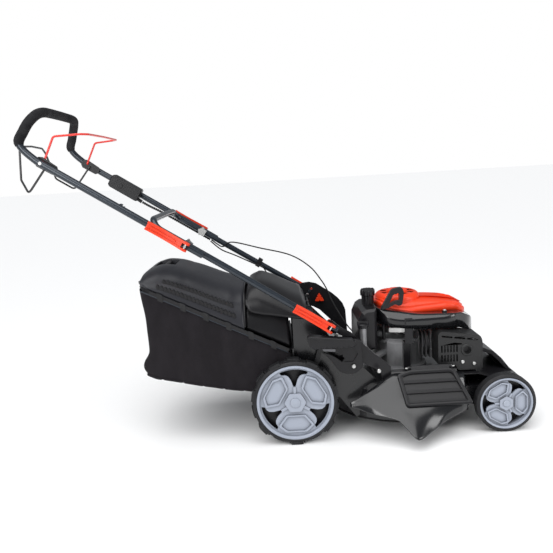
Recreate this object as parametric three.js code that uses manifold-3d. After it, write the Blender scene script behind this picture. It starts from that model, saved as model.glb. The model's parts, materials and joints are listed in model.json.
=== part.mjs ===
// Self-propelled rotary lawn mower with grass bag and side discharge deflector.
// Millimetres. X points forward, Y to the mower's left, Z up. Everything is laid out from the
// point on the ground below the rear wheels' centre; the last lines move the origin to the
// middle of the footprint.
import * as THREE from 'three';
import { mergeVertices } from 'three/addons/utils/BufferGeometryUtils.js';
import Module from 'manifold-3d';

const wasm = await Module();
wasm.setup();

// ---------------------------------------------------------------- driving dimensions
const WHEEL_SIDES = 24;             // facets round a wheel
const GAP = 0.3;                    // air between pieces that touch
const RUN = 0.35;                   // radial air of a pin in its hole

const WHEELBASE = 716;
const APRON = { front: 798, half: 195, top: 150, bottom: 84 };
const AXLE = { stub: 6, rod: 8, arm: 6, inner: APRON.half + 5, offsetX: 62, offsetZ: 20,
  linkPin: 62 };
const REAR = { radius: 150, rim: 131, width: 46, face: AXLE.inner + 62, lugs: 14, lugHeight: 7 };
const FRONT = { radius: 102, rim: 90, width: 42, face: AXLE.inner + 56 };

const DECK = { x: 400, radius: 260, wall: 2.5, top: 185, bottom: 58, lip: 6 };
const MOUTH = { rear: 1, front: 6 };   // the bag's plate against the deck's tunnel
const TUNNEL = { right: 10 - AXLE.inner, left: 80, rear: MOUTH.front + GAP, top: 432, floor: 228 };
const HOOD = { front: 562, rear: 336, side: 20 - DECK.radius, inner: -150, top: 219 };
const FLAP = { y: HOOD.side + 34, z: 230, radius: 3, from: 392, to: 541, slope: 58, rise: 8 };
const REAR_FLAP = { x: 68, z: 450, radius: 4, ears: [-152, 40], webs: [-146, -60, 28], pin: [-158, 50] };

const CUT = { half: DECK.radius - 16, blade: 4, width: 52, z: 76 };
const SHAFT = { radius: 12.5, pulley: 30, pulleyZ: 138, taper: 9.7 };
const GEARBOX = { y: AXLE.inner - 35, pulley: 34, pulleyX: 42 };

const HANDLE = { slope: 33.4, pivotX: 130, pivotZ: 404, lowerR: 11, upperR: 11.5 };
const JOINT_X = -325;               // bolt between upper and lower handle
const LOWER_Y = { foot: AXLE.inner + 45, joint: AXLE.inner + 32.5 };
const UPPER_Y = LOWER_Y.joint + HANDLE.lowerR + HANDLE.upperR + GAP;
const TILT = { up: 18, down: 8, radius: 50 };
const LEVER = { crossing: 155, angle: 13, up: 12, down: 28 };
const GRIP_FOAM = 16;
const BAIL = 3.5;

const PLATE = 5;                    // handle bracket thickness
const BOLT = 4;

const BAG = { half: REAR.face - REAR.width - 3, wall: 3 };

// The right bracket's strip lies inside both the side flap and the height quadrant.
const stripOut = Math.max(FLAP.y + 1, 11 - (REAR.face - REAR.width));
const STRIP = { out: stripOut, in: stripOut + 5, foot: HOOD.rear - GAP };
const OIL = { x: 250, y: STRIP.in + 36, seat: 372 };
const CAP = { x: 285, y: -60, seat: 440, top: 490 };
const PLUG = { y: -54, z: 296, seat: 542, end: 658 };
const RECOIL = { y: -110, x: 372 };

// ---------------------------------------------------------------- finishes
const paint = (color, roughness, metalness = 0) =>
  new THREE.MeshStandardMaterial({ color, roughness, metalness });
const MATERIAL = {
  deck: paint(0x17171a, 0.35, 0.3),
  plastic: paint(0x242428, 0.6),
  orange: paint(0xf5461c, 0.45),
  red: paint(0xd8392c, 0.4, 0.2),
  tube: paint(0x353c47, 0.35, 0.5),
  wire: paint(0x141416, 0.4, 0.3),
  foam: paint(0x2a2a2e, 0.9),
  rim: paint(0xb4bbc8, 0.45),
  tyre: paint(0x1a1a1c, 0.85),
  alloy: paint(0x85878a, 0.5, 0.7),
  steel: paint(0x9a9da2, 0.35, 0.9),
  heat: paint(0x232326, 0.7, 0.2),
  fabric: paint(0x201e22, 0.95),
};

// ---------------------------------------------------------------- solids
const V = (x, y, z) => new THREE.Vector3(x, y, z);
const radians = THREE.MathUtils.degToRad;

function signedVolume(position, index) {
  let sum = 0;
  const a = V(), b = V(), c = V();
  for (let i = 0; i < index.count; i += 3) {
    a.fromBufferAttribute(position, index.getX(i));
    b.fromBufferAttribute(position, index.getX(i + 1));
    c.fromBufferAttribute(position, index.getX(i + 2));
    sum += a.dot(b.cross(c)) / 6;
  }
  return sum;
}

// A closed three.js geometry as a manifold solid with its faces pointing out.
function solid(geometry) {
  const bare = geometry.clone();
  bare.deleteAttribute('normal');
  bare.deleteAttribute('uv');
  const merged = mergeVertices(bare, 1e-3);
  const source = merged.index;
  const triangles = [];
  for (let i = 0; i < source.count; i += 3) {
    const [p, q, r] = [source.getX(i), source.getX(i + 1), source.getX(i + 2)];
    if (p !== q && q !== r && r !== p) triangles.push(p, q, r);
  }
  merged.setIndex(triangles);
  if (signedVolume(merged.attributes.position, merged.index) < 0) {
    for (let i = 0; i < triangles.length; i += 3) {
      [triangles[i], triangles[i + 1]] = [triangles[i + 1], triangles[i]];
    }
  }
  return new wasm.Manifold(new wasm.Mesh({
    numProp: 3,
    vertProperties: new Float32Array(merged.attributes.position.array),
    triVerts: new Uint32Array(triangles),
  }));
}

const join = (first, ...rest) => rest.reduce((sum, piece) => sum.add(piece), first);
const cut = (first, ...rest) => rest.reduce((sum, piece) => sum.subtract(piece), first);
const move = (piece, x, y, z) => piece.translate([x, y, z]);
const mirrorY = (piece) => piece.mirror([0, 1, 0]);

function geometryOf(piece) {
  const { vertProperties, triVerts, numProp } = piece.getMesh();
  const geometry = new THREE.BufferGeometry();
  const position = new Float32Array((vertProperties.length / numProp) * 3);
  for (let i = 0; i < position.length / 3; i += 1) {
    position.set(vertProperties.subarray(i * numProp, i * numProp + 3), i * 3);
  }
  geometry.setAttribute('position', new THREE.BufferAttribute(position, 3));
  geometry.setIndex(new THREE.BufferAttribute(new Uint32Array(triVerts), 1));
  geometry.computeVertexNormals();
  return geometry;
}

const mower = new THREE.Group();

function part(name, piece, material) {
  const mesh = new THREE.Mesh(geometryOf(piece), material);
  mesh.name = name;
  mower.add(mesh);
  return mesh;
}

// ---------------------------------------------------------------- outlines
const polygon = (points) => new THREE.Shape(points.map(([x, y]) => new THREE.Vector2(x, y)));

// A polygon whose corners are rounded; a corner may carry its own radius as a third number.
function rounded(points, radius, steps = 3) {
  const corners = [];
  points.forEach(([x, y, own], i) => {
    const here = new THREE.Vector2(x, y);
    const before = new THREE.Vector2(...points.at(i - 1).slice(0, 2));
    const after = new THREE.Vector2(...points[(i + 1) % points.length].slice(0, 2));
    const toBefore = before.sub(here);
    const toAfter = after.sub(here);
    const reach = Math.min(own ?? radius, toBefore.length() / 2.6, toAfter.length() / 2.6);
    const start = here.clone().addScaledVector(toBefore.normalize(), reach);
    const end = here.clone().addScaledVector(toAfter.normalize(), reach);
    if (reach < 0.05) {
      corners.push(here);
      return;
    }
    corners.push(...new THREE.QuadraticBezierCurve(start, here, end).getPoints(steps));
  });
  return new THREE.Shape(corners);
}

const circlePoints = (radius, sides, x = 0, y = 0, turn = 0) =>
  Array.from({ length: sides }, (_, i) => {
    const angle = turn + (i * 2 * Math.PI) / sides;
    return [x + radius * Math.cos(angle), y + radius * Math.sin(angle)];
  });
const circle = (radius, sides = 20, x = 0, y = 0, turn = 0) =>
  polygon(circlePoints(radius, sides, x, y, turn));

// A stretch of a ring between two angles, in degrees.
function arcBand(inner, outer, from, to, steps, x = 0, y = 0) {
  const at = (radius, t) => {
    const angle = radians(from + (to - from) * t);
    return [x + radius * Math.cos(angle), y + radius * Math.sin(angle)];
  };
  const outside = Array.from({ length: steps + 1 }, (_, i) => at(outer, i / steps));
  const inside = Array.from({ length: steps + 1 }, (_, i) => at(inner, 1 - i / steps));
  return polygon([...outside, ...inside]);
}

// Moves every side of an outline inwards by the same amount.
function inset(points, by) {
  const area = points.reduce((sum, [x, y], i) => {
    const [nx, ny] = points[(i + 1) % points.length];
    return sum + x * ny - nx * y;
  }, 0);
  const turn = Math.sign(area);
  return points.map(([x, y], i) => {
    const here = new THREE.Vector2(x, y);
    const into = here.clone().sub(new THREE.Vector2(...points.at(i - 1))).normalize();
    const out = new THREE.Vector2(...points[(i + 1) % points.length]).sub(here).normalize();
    const half = into.clone().add(out).normalize();
    const shift = (turn * by) / Math.max(half.dot(into), 0.35);
    return [x - half.y * shift, y + half.x * shift];
  });
}

function withHoles(shape, ...holes) {
  shape.holes = holes.map((hole) => new THREE.Path(hole.getPoints()));
  return shape;
}

// ---------------------------------------------------------------- sweeps and revolves
// A prism on an outline; a bevel chamfers the edges of both ends.
function extruded(shape, depth, bevel = 0) {
  if (!bevel) return new THREE.ExtrudeGeometry(shape, { depth, bevelEnabled: false });
  const drawn = shape.getPoints();
  if (THREE.ShapeUtils.isClockWise(drawn)) drawn.reverse();
  const outline = drawn.map(({ x, y }) => [x, y]);
  const small = inset(outline, bevel);
  const levels = [[small, 0], [outline, bevel], [outline, depth - bevel], [small, depth]];
  const rings = levels.map(([ring, z]) => ring.map(([x, y]) => V(x, y, z)));
  const caps = THREE.ShapeUtils.triangulateShape(small.map(([x, y]) => new THREE.Vector2(x, y)), []);
  const count = outline.length;
  const top = (levels.length - 1) * count;
  const index = caps.flatMap(([a, b, c]) => [c, b, a, top + a, top + b, top + c]);
  for (let level = 0; level < top; level += count) {
    for (let i = 0; i < count; i += 1) {
      const [a, b] = [level + i, level + ((i + 1) % count)];
      index.push(a, b, b + count, a, b + count, a + count);
    }
  }
  const geometry = new THREE.BufferGeometry().setFromPoints(rings.flat());
  geometry.setIndex(index);
  return geometry;
}

function placed(geometry, xAxis, yAxis, origin) {
  const zAxis = xAxis.clone().cross(yAxis);
  geometry.applyMatrix4(new THREE.Matrix4().makeBasis(xAxis, yAxis, zAxis).setPosition(origin));
  return solid(geometry);
}

// Outlines drawn in X-Y, X-Z or Y-Z and pushed through between two planes.
const alongZ = (shape, z0, z1, bevel) => solid(extruded(shape, z1 - z0, bevel).translate(0, 0, z0));
const alongY = (shape, y0, y1, bevel) =>
  placed(extruded(shape, y1 - y0, bevel), V(1, 0, 0), V(0, 0, 1), V(0, y1, 0));
const alongX = (shape, x0, x1, bevel) =>
  placed(extruded(shape, x1 - x0, bevel), V(0, 1, 0), V(0, 0, 1), V(x0, 0, 0));

const box = (x0, x1, y0, y1, z0, z1) => solid(
  new THREE.BoxGeometry(x1 - x0, y1 - y0, z1 - z0)
    .translate((x0 + x1) / 2, (y0 + y1) / 2, (z0 + z1) / 2));

// Revolves a profile of [radius, height] pairs about Z or Y. About Y a flat faces the ground.
function revolveZ(profile, sides, x = 0, y = 0) {
  const points = profile.map(([r, z]) => new THREE.Vector2(r, z));
  return solid(new THREE.LatheGeometry(points, sides).rotateX(Math.PI / 2).translate(x, y, 0));
}
const revolveY = (profile, sides) =>
  solid(new THREE.LatheGeometry(profile.map(([r, y]) => new THREE.Vector2(r, y)), sides,
    Math.PI / sides));

// A cylinder between two points.
function rod(from, to, radius, sides = 10, radiusTo = radius) {
  const axis = to.clone().sub(from);
  const geometry = new THREE.CylinderGeometry(radiusTo, radius, axis.length(), sides);
  geometry.applyQuaternion(
    new THREE.Quaternion().setFromUnitVectors(V(0, 1, 0), axis.clone().normalize()));
  const middle = from.clone().add(to).multiplyScalar(0.5);
  return solid(geometry.translate(middle.x, middle.y, middle.z));
}

// A path through given points, one ring of a sweep at each of them.
class Route extends THREE.Curve {
  constructor(points) {
    super();
    this.points = points;
  }

  getPoint(t, target = V()) {
    const scaled = t * (this.points.length - 1);
    const i = Math.min(Math.floor(scaled), this.points.length - 2);
    return target.lerpVectors(this.points[i], this.points[i + 1], scaled - i);
  }

  getPointAt(t, target) {
    return this.getPoint(t, target);
  }

  getTangentAt(t, target = V()) {
    const i = Math.round(t * (this.points.length - 1));
    const before = this.points[Math.max(i - 1, 0)];
    const after = this.points[Math.min(i + 1, this.points.length - 1)];
    const here = this.points[i];
    const into = i > 0 ? here.clone().sub(before).normalize() : V();
    const out = i < this.points.length - 1 ? after.clone().sub(here).normalize() : V();
    return target.copy(into.add(out)).normalize();
  }
}

// Bends a run of straight stretches round its corners with the given inside radius.
function bent(points, radius, stepAngle = 30) {
  const route = [points[0]];
  for (let i = 1; i < points.length - 1; i += 1) {
    const into = points[i].clone().sub(points[i - 1]);
    const out = points[i + 1].clone().sub(points[i]);
    const turn = into.angleTo(out);
    const reach = Math.min(radius * Math.tan(turn / 2), into.length() / 2.1, out.length() / 2.1);
    const start = points[i].clone().addScaledVector(into.normalize(), -reach);
    const end = points[i].clone().addScaledVector(out.normalize(), reach);
    const steps = Math.max(1, Math.round(turn / radians(stepAngle)));
    route.push(...new THREE.QuadraticBezierCurve3(start, points[i], end).getPoints(steps));
  }
  route.push(points.at(-1));
  return route;
}

function sweep(points, section) {
  return solid(new THREE.ExtrudeGeometry(section, {
    steps: points.length - 1, bevelEnabled: false, curveSegments: 4,
    extrudePath: new Route(points),
  }));
}
const wire = (points, radius, sides = 10) => sweep(points, circle(radius, sides));

// Joins rings of equal point count into one closed skin.
function loft(rings) {
  const count = rings[0].length;
  const centre = (ring) => ring.reduce((sum, p) => sum.add(p), V()).divideScalar(count);
  const points = [...rings.flat(), centre(rings[0]), centre(rings.at(-1))];
  const index = [];
  for (let r = 0; r < rings.length - 1; r += 1) {
    for (let i = 0; i < count; i += 1) {
      const a = r * count + i;
      const b = r * count + ((i + 1) % count);
      index.push(a, b, b + count, a, b + count, a + count);
    }
  }
  const last = (rings.length - 1) * count;
  const [first, end] = [points.length - 2, points.length - 1];
  for (let i = 0; i < count; i += 1) {
    const next = (i + 1) % count;
    index.push(first, next, i, end, last + i, last + next);
  }
  const geometry = new THREE.BufferGeometry().setFromPoints(points);
  geometry.setIndex(index);
  return solid(geometry);
}

// ================================================================ running gear
const rearHub = V(0, 0, REAR.radius);
const frontHub = V(WHEELBASE, 0, FRONT.radius);
const crankOffset = V(AXLE.offsetX, 0, AXLE.offsetZ);
const rearPivot = rearHub.clone().add(crankOffset);
const frontPivot = frontHub.clone().add(crankOffset);

// Wheels stand with their axis on Y and their outer face at y = 0.
function wheelRim({ rim, width }) {
  const lip = 9;
  const barrel = revolveY([[rim - lip, -1], [rim - lip + 3, 0], [rim, 0], [rim, -width + 1],
    [rim - 5, -width + 1], [rim - lip, -14], [rim - lip, -1]], WHEEL_SIDES);
  const opening = (angle) => {
    const half = 26;
    const point = (radius, degrees) => {
      const a = radians(angle + degrees);
      return [radius * rim * Math.cos(a), radius * rim * Math.sin(a)];
    };
    return polygon([
      point(0.43, 5), point(0.43, -5), point(0.72, -6), point(0.78, -half),
      point(0.885, -half), point(0.9, 0), point(0.885, half), point(0.78, half), point(0.72, 6)]);
  };
  const web = alongY(
    withHoles(circle(rim - 5, WHEEL_SIDES), ...[90, 210, 330].map(opening)), -15, -9);
  const panel = (angle, scale) => {
    const [out, side, low] = [0.77 * scale, 0.43 * scale, 0.23 * scale];
    const local = [[out, side * 0.62], [0.52, side], [0.52 - low, side * 0.55],
      [0.52 - low, -side * 0.55], [0.52, -side], [out, -side * 0.62]];
    const a = radians(angle);
    return local.map(([r, t]) => [
      rim * (r * Math.cos(a) - t * Math.sin(a)), rim * (r * Math.sin(a) + t * Math.cos(a))]);
  };
  const frames = [30, 150, 270].map((angle) =>
    alongY(withHoles(polygon(panel(angle, 1)), polygon(panel(angle, 0.88))), -12, -3));
  const hub = revolveY([[0, -3], [0.16 * rim, -3], [0.18 * rim, -5], [0.18 * rim, -12],
    [15, -13], [15, -width + 2], [0, -width + 2]], 6);
  const bore = revolveY([[0, -12], [AXLE.stub + RUN, -12], [AXLE.stub + RUN, -width],
    [0, -width]], 10);
  return cut(join(barrel, web, ...frames, hub), bore);
}

function treadedTyre({ radius, rim, width, lugs, lugHeight }) {
  const [seat, carcass] = [rim + GAP, radius - lugHeight];
  const body = revolveY([
    [seat, -1], [carcass - 6, -1], [carcass, -8], [carcass, -width + 8],
    [carcass - 6, -width + 1], [seat, -width + 1], [seat, -1]], WHEEL_SIDES);
  const pitch = 360 / lugs;
  const top = radius / Math.cos(radians(0.3 * pitch));
  const bars = Array.from({ length: lugs }, (_, i) => {
    const side = i % 2 ? -1 : 1;
    const reach = side > 0 ? [-width * 0.62, -1.5] : [-width + 1.5, -width * 0.38];
    return alongY(arcBand(carcass - 3, top, -90 + (i - 0.3) * pitch,
      -90 + (i + 0.3) * pitch, 1), ...reach);
  });
  return join(body, ...bars);
}

function ribbedTyre({ radius, rim, width }) {
  const seat = rim + GAP;
  const crown = radius / Math.cos(Math.PI / WHEEL_SIDES);
  return revolveY([
    [seat, -3], [seat + 4, -1], [radius - 4, -3], [crown, -width / 2 + 6], [crown, -width / 2 - 6],
    [radius - 4, -width + 3], [seat, -width + 1], [seat, -3]], WHEEL_SIDES);
}

const onSide = (piece, side, hub, face) => move(
  side > 0 ? piece : piece.rotate([0, 0, 180]), hub.x, side * face, hub.z);

for (const [side, name] of [[1, 'left'], [-1, 'right']]) {
  part(`rear_rim_${name}`, onSide(wheelRim(REAR), side, rearHub, REAR.face), MATERIAL.rim);
  part(`rear_tyre_${name}`, onSide(treadedTyre(REAR), side, rearHub, REAR.face), MATERIAL.tyre);
  part(`front_rim_${name}`, onSide(wheelRim(FRONT), side, frontHub, FRONT.face), MATERIAL.rim);
  part(`front_tyre_${name}`, onSide(ribbedTyre(FRONT), side, frontHub, FRONT.face), MATERIAL.tyre);
}

// A crank arm swings about its pivot and carries the wheel's stub axle at its other end.
const armY = [AXLE.inner, AXLE.inner + AXLE.arm];
function crankArm(hub, pivot, face, side, holeRadius, linkPin, tie) {
  const reach = pivot.clone().sub(hub);
  const across = V(-reach.z, 0, reach.x).normalize();
  const around = (centre, radius, towards) => Array.from({ length: 5 }, (_, i) => {
    const angle = Math.PI * (i / 4);
    const ray = across.clone().multiplyScalar(Math.cos(angle) * towards);
    ray.addScaledVector(reach.clone().normalize(), Math.sin(angle) * towards);
    return [centre.x + ray.x * radius, centre.z + ray.z * radius];
  });
  const [low, high] = side > 0 ? armY : [-armY[1], -armY[0]];
  const plate = alongY(polygon([...around(pivot, 20, 1), ...around(hub, 15, -1)]), low, high);
  const stub = rod(V(hub.x, side * armY[0], hub.z), V(hub.x, side * (face - 13), hub.z), AXLE.stub);
  const pieces = [plate, stub];
  if (linkPin) {
    const pin = V(pivot.x, 0, pivot.z + AXLE.linkPin);
    pieces.push(alongY(rounded([[pivot.x - 10, pivot.z], [pivot.x + 10, pivot.z],
      [pin.x + 9, pin.z + 9], [pin.x - 9, pin.z + 9]], 6, 1), low, high));
    pieces.push(rod(V(pin.x, side * armY[0], pin.z), V(pin.x, side * (armY[1] + 6), pin.z), 4, 12));
  }
  if (tie) {
    pieces.push(alongY(rounded([[hub.x - 13, hub.z], [hub.x + 13, hub.z], [tie.x + 12, tie.z + 10],
      [tie.x - 12, tie.z + 10]], 6, 1), low, high));
  }
  const arm = join(...pieces);
  return holeRadius
    ? cut(arm, rod(V(pivot.x, -300, pivot.z), V(pivot.x, 300, pivot.z), holeRadius, 20)) : arm;
}

const driveShaft = 7;
const rearTie = V(rearHub.x, 0, rearHub.z + 34);
part('rear_axle', join(
  crankArm(rearHub, rearPivot, REAR.face, 1, driveShaft + RUN, true, rearTie),
  crankArm(rearHub, rearPivot, REAR.face, -1, driveShaft + RUN, false, rearTie),
  rod(V(rearTie.x, -armY[1], rearTie.z), V(rearTie.x, armY[1], rearTie.z), AXLE.rod)),
MATERIAL.steel);
part('front_axle', join(
  crankArm(frontHub, frontPivot, FRONT.face, 1, 0, true),
  crankArm(frontHub, frontPivot, FRONT.face, -1, 0, false),
  rod(V(frontPivot.x, -armY[1], frontPivot.z), V(frontPivot.x, armY[1], frontPivot.z), AXLE.rod)),
MATERIAL.steel);

// The tie bar keeps both axles at the same height. It lies beside the left crank arms.
const rearPin = V(rearPivot.x, 0, rearPivot.z + AXLE.linkPin);
const frontPin = V(frontPivot.x, 0, frontPivot.z + AXLE.linkPin);
const linkY = [armY[1] + GAP, armY[1] + 5];
const pinHole = (pin) => rod(V(pin.x, linkY[0] - 5, pin.z), V(pin.x, linkY[1] + 5, pin.z), 4 + RUN, 12);
part('height_link', cut(
  alongY(rounded([
    [rearPin.x - 9, rearPin.z - 7], [frontPin.x + 9, frontPin.z - 8],
    [frontPin.x + 9, frontPin.z + 7], [rearPin.x - 9, rearPin.z + 8]], 4, 1), ...linkY),
  pinHole(rearPin), pinHole(frontPin)), MATERIAL.steel);

// ================================================================ deck
const deckProfile = (inset) => {
  const [r, top] = [DECK.radius - inset, DECK.top - inset];
  return [[0, top], [r - 52, top], [r - 28, top - 6], [r - 9, top - 24], [r, top - 66]];
};
const skirt = DECK.radius + DECK.lip;
const deckOuter = revolveZ([...deckProfile(0), [DECK.radius, DECK.bottom + 5],
  [skirt, DECK.bottom + 3], [skirt, DECK.bottom], [0, DECK.bottom]], 30, DECK.x);
const deckInner = revolveZ([...deckProfile(DECK.wall), [DECK.radius - DECK.wall, DECK.bottom - 5],
  [0, DECK.bottom - 5]], 30, DECK.x);

// The rear tunnel climbs from the cutting chamber to the bag's mouth and is open at its rear.
const tunnelShape = (inset, rear) => polygon([
  [300, DECK.bottom + 2 * inset], [305, DECK.top - inset], [293, DECK.top - inset],
  [62, TUNNEL.top - inset], [rear, TUNNEL.top - inset], [rear, TUNNEL.floor + inset],
  [98, TUNNEL.floor - 12 + inset], [215 + inset, DECK.bottom + 2 * inset]]);
const tunnelOuter = alongY(tunnelShape(0, TUNNEL.rear), TUNNEL.right, TUNNEL.left);
const tunnelInner = alongY(tunnelShape(DECK.wall, TUNNEL.rear - 10), TUNNEL.right + DECK.wall,
  TUNNEL.left - DECK.wall);

// A raised hood over the side outlet, in Y-Z.
const hoodShape = (inset, bottom) => polygon([
  [HOOD.inner, DECK.top - 12 - inset], [HOOD.side + 62, HOOD.top - inset],
  [HOOD.side + 36, HOOD.top - inset],
  [HOOD.side + inset, 160], [HOOD.side + inset, bottom], [HOOD.inner, bottom]]);
const hoodOuter = alongX(hoodShape(0, 76), HOOD.rear, HOOD.front);
const hoodInner = alongX(hoodShape(DECK.wall, 70), HOOD.rear + DECK.wall, HOOD.front - DECK.wall);
const outlet = box(HOOD.rear + 8, HOOD.front - 8, HOOD.side - 60, HOOD.side + 40, 84, 150);

// The apron reaches forward to the front axle.
const apronShape = (inset) => rounded([
  [560, -APRON.half + inset], [APRON.front - 26, -APRON.half + inset],
  [APRON.front - inset, -APRON.half + 40], [APRON.front - inset, APRON.half - 40],
  [APRON.front - 26, APRON.half - inset], [560, APRON.half - inset]], 18, 1);
const apronOuter = alongZ(apronShape(0), APRON.bottom, APRON.top);
const apronInner = alongZ(apronShape(DECK.wall), APRON.bottom - 5, APRON.top - DECK.wall);
const acrossY = (x, z, radius, sides = 12) => rod(V(x, -300, z), V(x, 300, z), radius, sides);

const flapEar = (x) => cut(
  alongX(rounded([[FLAP.y - 9, HOOD.top - 2], [FLAP.y + 9, HOOD.top - 2],
    [FLAP.y + 5.5, FLAP.z + 6], [FLAP.y - 5.5, FLAP.z + 6]], 4, 1), x, x + 4),
  rod(V(x - 5, FLAP.y, FLAP.z), V(x + 9, FLAP.y, FLAP.z), FLAP.radius + RUN, 12));
const rearEar = (y) => cut(
  alongY(polygon([[61, 428], [84, 404], [79, REAR_FLAP.z + 2], [REAR_FLAP.x + 5, REAR_FLAP.z + 9],
    [REAR_FLAP.x - 4, REAR_FLAP.z + 9], [61, REAR_FLAP.z + 4]]), y, y + 4),
  acrossY(REAR_FLAP.x, REAR_FLAP.z, REAR_FLAP.radius + RUN, 12));

part('deck', cut(
  join(deckOuter, tunnelOuter, hoodOuter, apronOuter, flapEar(FLAP.from), flapEar(FLAP.to),
    ...REAR_FLAP.ears.map(rearEar)),
  deckInner, tunnelInner, hoodInner, cut(apronInner, deckOuter), outlet,
  box(DECK.x - DECK.radius - 22, DECK.x - DECK.radius + 66, GEARBOX.y - 107, GEARBOX.y - 13, SHAFT.pulleyZ - 14,
    SHAFT.pulleyZ + 12),
  revolveZ([[0, 100], [36, 100], [36, 200], [0, 200]], 28, DECK.x),
  acrossY(frontPivot.x, frontPivot.z, AXLE.rod + RUN)), MATERIAL.deck);
part('side_flap_rod', rod(V(FLAP.from - 8, FLAP.y, FLAP.z), V(FLAP.to + 12, FLAP.y, FLAP.z),
  FLAP.radius, 12), MATERIAL.steel);

// ---------------------------------------------------------------- front cover
const coverHalf = APRON.half + 3;
const coverTop = [[583, 197], [640, 196], [688, 178], [768, 168], [808, 153], [821, 122], [821, 88]];
const coverUnder = [[818, 88], [818, 121], [805, 150], [767, 165], [687, 175], [639, 193], [583, 194]];
const arch = [[640, 192], [648, 236], [683, 255], [731, 236], [760, 208], [784, 176], [800, 155],
  [789, 158], [771, 170], [749, 197], [723, 223], [684, 241], [661, 228], [655, 190]];
const lowArch = [[716, 232], [728, 224], [758, 176], [765, 167], [775, 166], [766, 186], [742, 222]];
const coverRib = (y) => alongY(polygon([[700, APRON.top + GAP], [792, APRON.top + GAP],
  [792, 157], [768, 167], [700, 175]]), y, y + 3);
part('front_cover', cut(
  join(alongY(polygon([...coverTop, ...coverUnder]), -coverHalf, coverHalf),
    alongY(polygon(arch), -88, 88, 1.5), alongY(polygon(lowArch), -30, 30),
    ...[-172, -60, 57, 169].map(coverRib)),
  revolveZ([...deckProfile(-1.5), [DECK.radius + 1.5, 50], [0, 50]], 30, DECK.x)),
MATERIAL.plastic);

// ================================================================ side flap and deflector
// The flap hangs from its rod and lies on the deflector. Both are drawn on the flap's slope:
// x along the hinge, v down the slope, w out from it.
const flapDown = V(0, -Math.cos(radians(FLAP.slope)), -Math.sin(radians(FLAP.slope)));
const flapOut = V(0, -Math.sin(radians(FLAP.slope)), Math.cos(radians(FLAP.slope)));
const onSlope = (x, v, w) => V(x, FLAP.y, FLAP.z).addScaledVector(flapDown, v)
  .addScaledVector(flapOut, w);
const inSlope = (shape, low, high) =>
  placed(extruded(shape, high - low), V(1, 0, 0), flapDown, onSlope(0, 0, high).setX(0));

function shrink(points, dx, dy) {
  const cx = points.reduce((sum, [x]) => sum + x, 0) / points.length;
  const cy = points.reduce((sum, [, y]) => sum + y, 0) / points.length;
  return points.map(([x, y]) => [cx + (x - cx) * dx, cy + (y - cy) * dy]);
}

const flapEdge = [[352, 22], [398, 9], [536, 9], [552, 20], [592, 128], [588, 134], [378, 134],
  [370, 126]];
const louvre = (i) => {
  const v = 22 + i * 32;
  return inSlope(polygon([[366 + i * 5, v], [548 + i * 11, v], [560 + i * 11, v + 36],
    [371 + i * 5, v + 36]]), FLAP.rise + 1 + i, FLAP.rise + 3.6 + i);
};
part('side_flap', cut(
  join(
    inSlope(withHoles(rounded(flapEdge, 8, 1), rounded(shrink(flapEdge, 0.86, 0.76), 5, 1)),
      FLAP.rise, FLAP.rise + 7),
    louvre(0), louvre(1), louvre(2),
    inSlope(polygon([[402, -4], [532, -4], [532, 15], [402, 15]]), 3, FLAP.rise + 6),
    rod(V(FLAP.from + 4 + GAP, FLAP.y, FLAP.z), V(FLAP.to - GAP, FLAP.y, FLAP.z),
      FLAP.radius + 5, 10)),
  rod(V(300, FLAP.y, FLAP.z), V(700, FLAP.y, FLAP.z), FLAP.radius + RUN, 12)), MATERIAL.plastic);

// The deflector is one moulded sheet: a rear wing, a drooping beak and a short front side.
// Each row gives x, then v and w at the top edge, under the flap's low edge and at the rim.
const chuteRows = [
  [188, [98, -40], [104, -41], [113, -44]],
  [262, [60, -12], [100, -8], [150, -6]],
  [336, [17, 5], [120, 5], [178, 22]],
  [388, [17, 5], [132, 6], [246, 42]],
  [452, [17, 5], [132, 5], [212, 10]],
  [502, [17, 5], [132, 4], [182, -12]],
  [560, [20, 3], [128, 0], [156, -18]],
  [582, [24, 0], [118, -8], [146, -26]],
];
const chuteWall = 3;
part('side_chute', loft(chuteRows.map(([x, top, middle, rim]) => {
  const ridge = new THREE.QuadraticBezierCurve(new THREE.Vector2(...middle),
    new THREE.Vector2((middle[0] + rim[0]) / 2 + 6, (middle[1] + rim[1]) / 2 + 5),
    new THREE.Vector2(...rim)).getPoints(3);
  const outside = [new THREE.Vector2(...top), ...ridge];
  const inside = outside.slice().reverse();
  return [...outside.map(({ x: v, y: w }) => onSlope(x, v, w)),
    ...inside.map(({ x: v, y: w }) => onSlope(x, v, w - chuteWall))];
})), MATERIAL.plastic);

// ================================================================ handle brackets
const lean = V(-Math.cos(radians(HANDLE.slope)), 0, Math.sin(radians(HANDLE.slope)));
const above = V(lean.z, 0, -lean.x);
// A point on the handle's line at a given x, lifted square to the line.
const onHandle = (x, y, lift = 0) => V(HANDLE.pivotX, y, HANDLE.pivotZ)
  .addScaledVector(lean, (HANDLE.pivotX - x) / -lean.x).addScaledVector(above, lift);
const inXZ = (point) => [point.x, point.z];

const plateOut = LOWER_Y.foot - HANDLE.lowerR - GAP;
const plateIn = plateOut - PLATE;
const pivotHole = acrossY(HANDLE.pivotX, HANDLE.pivotZ, BOLT + RUN);

// Left: a broad plate with an arc slot that limits the handle's tilt.
part('bracket_left', cut(
  join(
    alongY(rounded([[38, 412], [44, 468], [106, 474], [196, 412], [234, 364], [240, 236],
      [150, 236], [182, 300], [118, 366], [64, 380]], 16, 1), plateIn, plateOut),
    box(176, 236, TUNNEL.left + GAP, plateOut, 236, 241)),
  pivotHole,
  alongY(arcBand(TILT.radius - 4.5, TILT.radius + 4.5, 146.6 - TILT.up - 5, 146.6 + TILT.down + 5, 6,
    HANDLE.pivotX, HANDLE.pivotZ), plateIn - 20, plateOut + 20)), MATERIAL.plastic);

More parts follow.
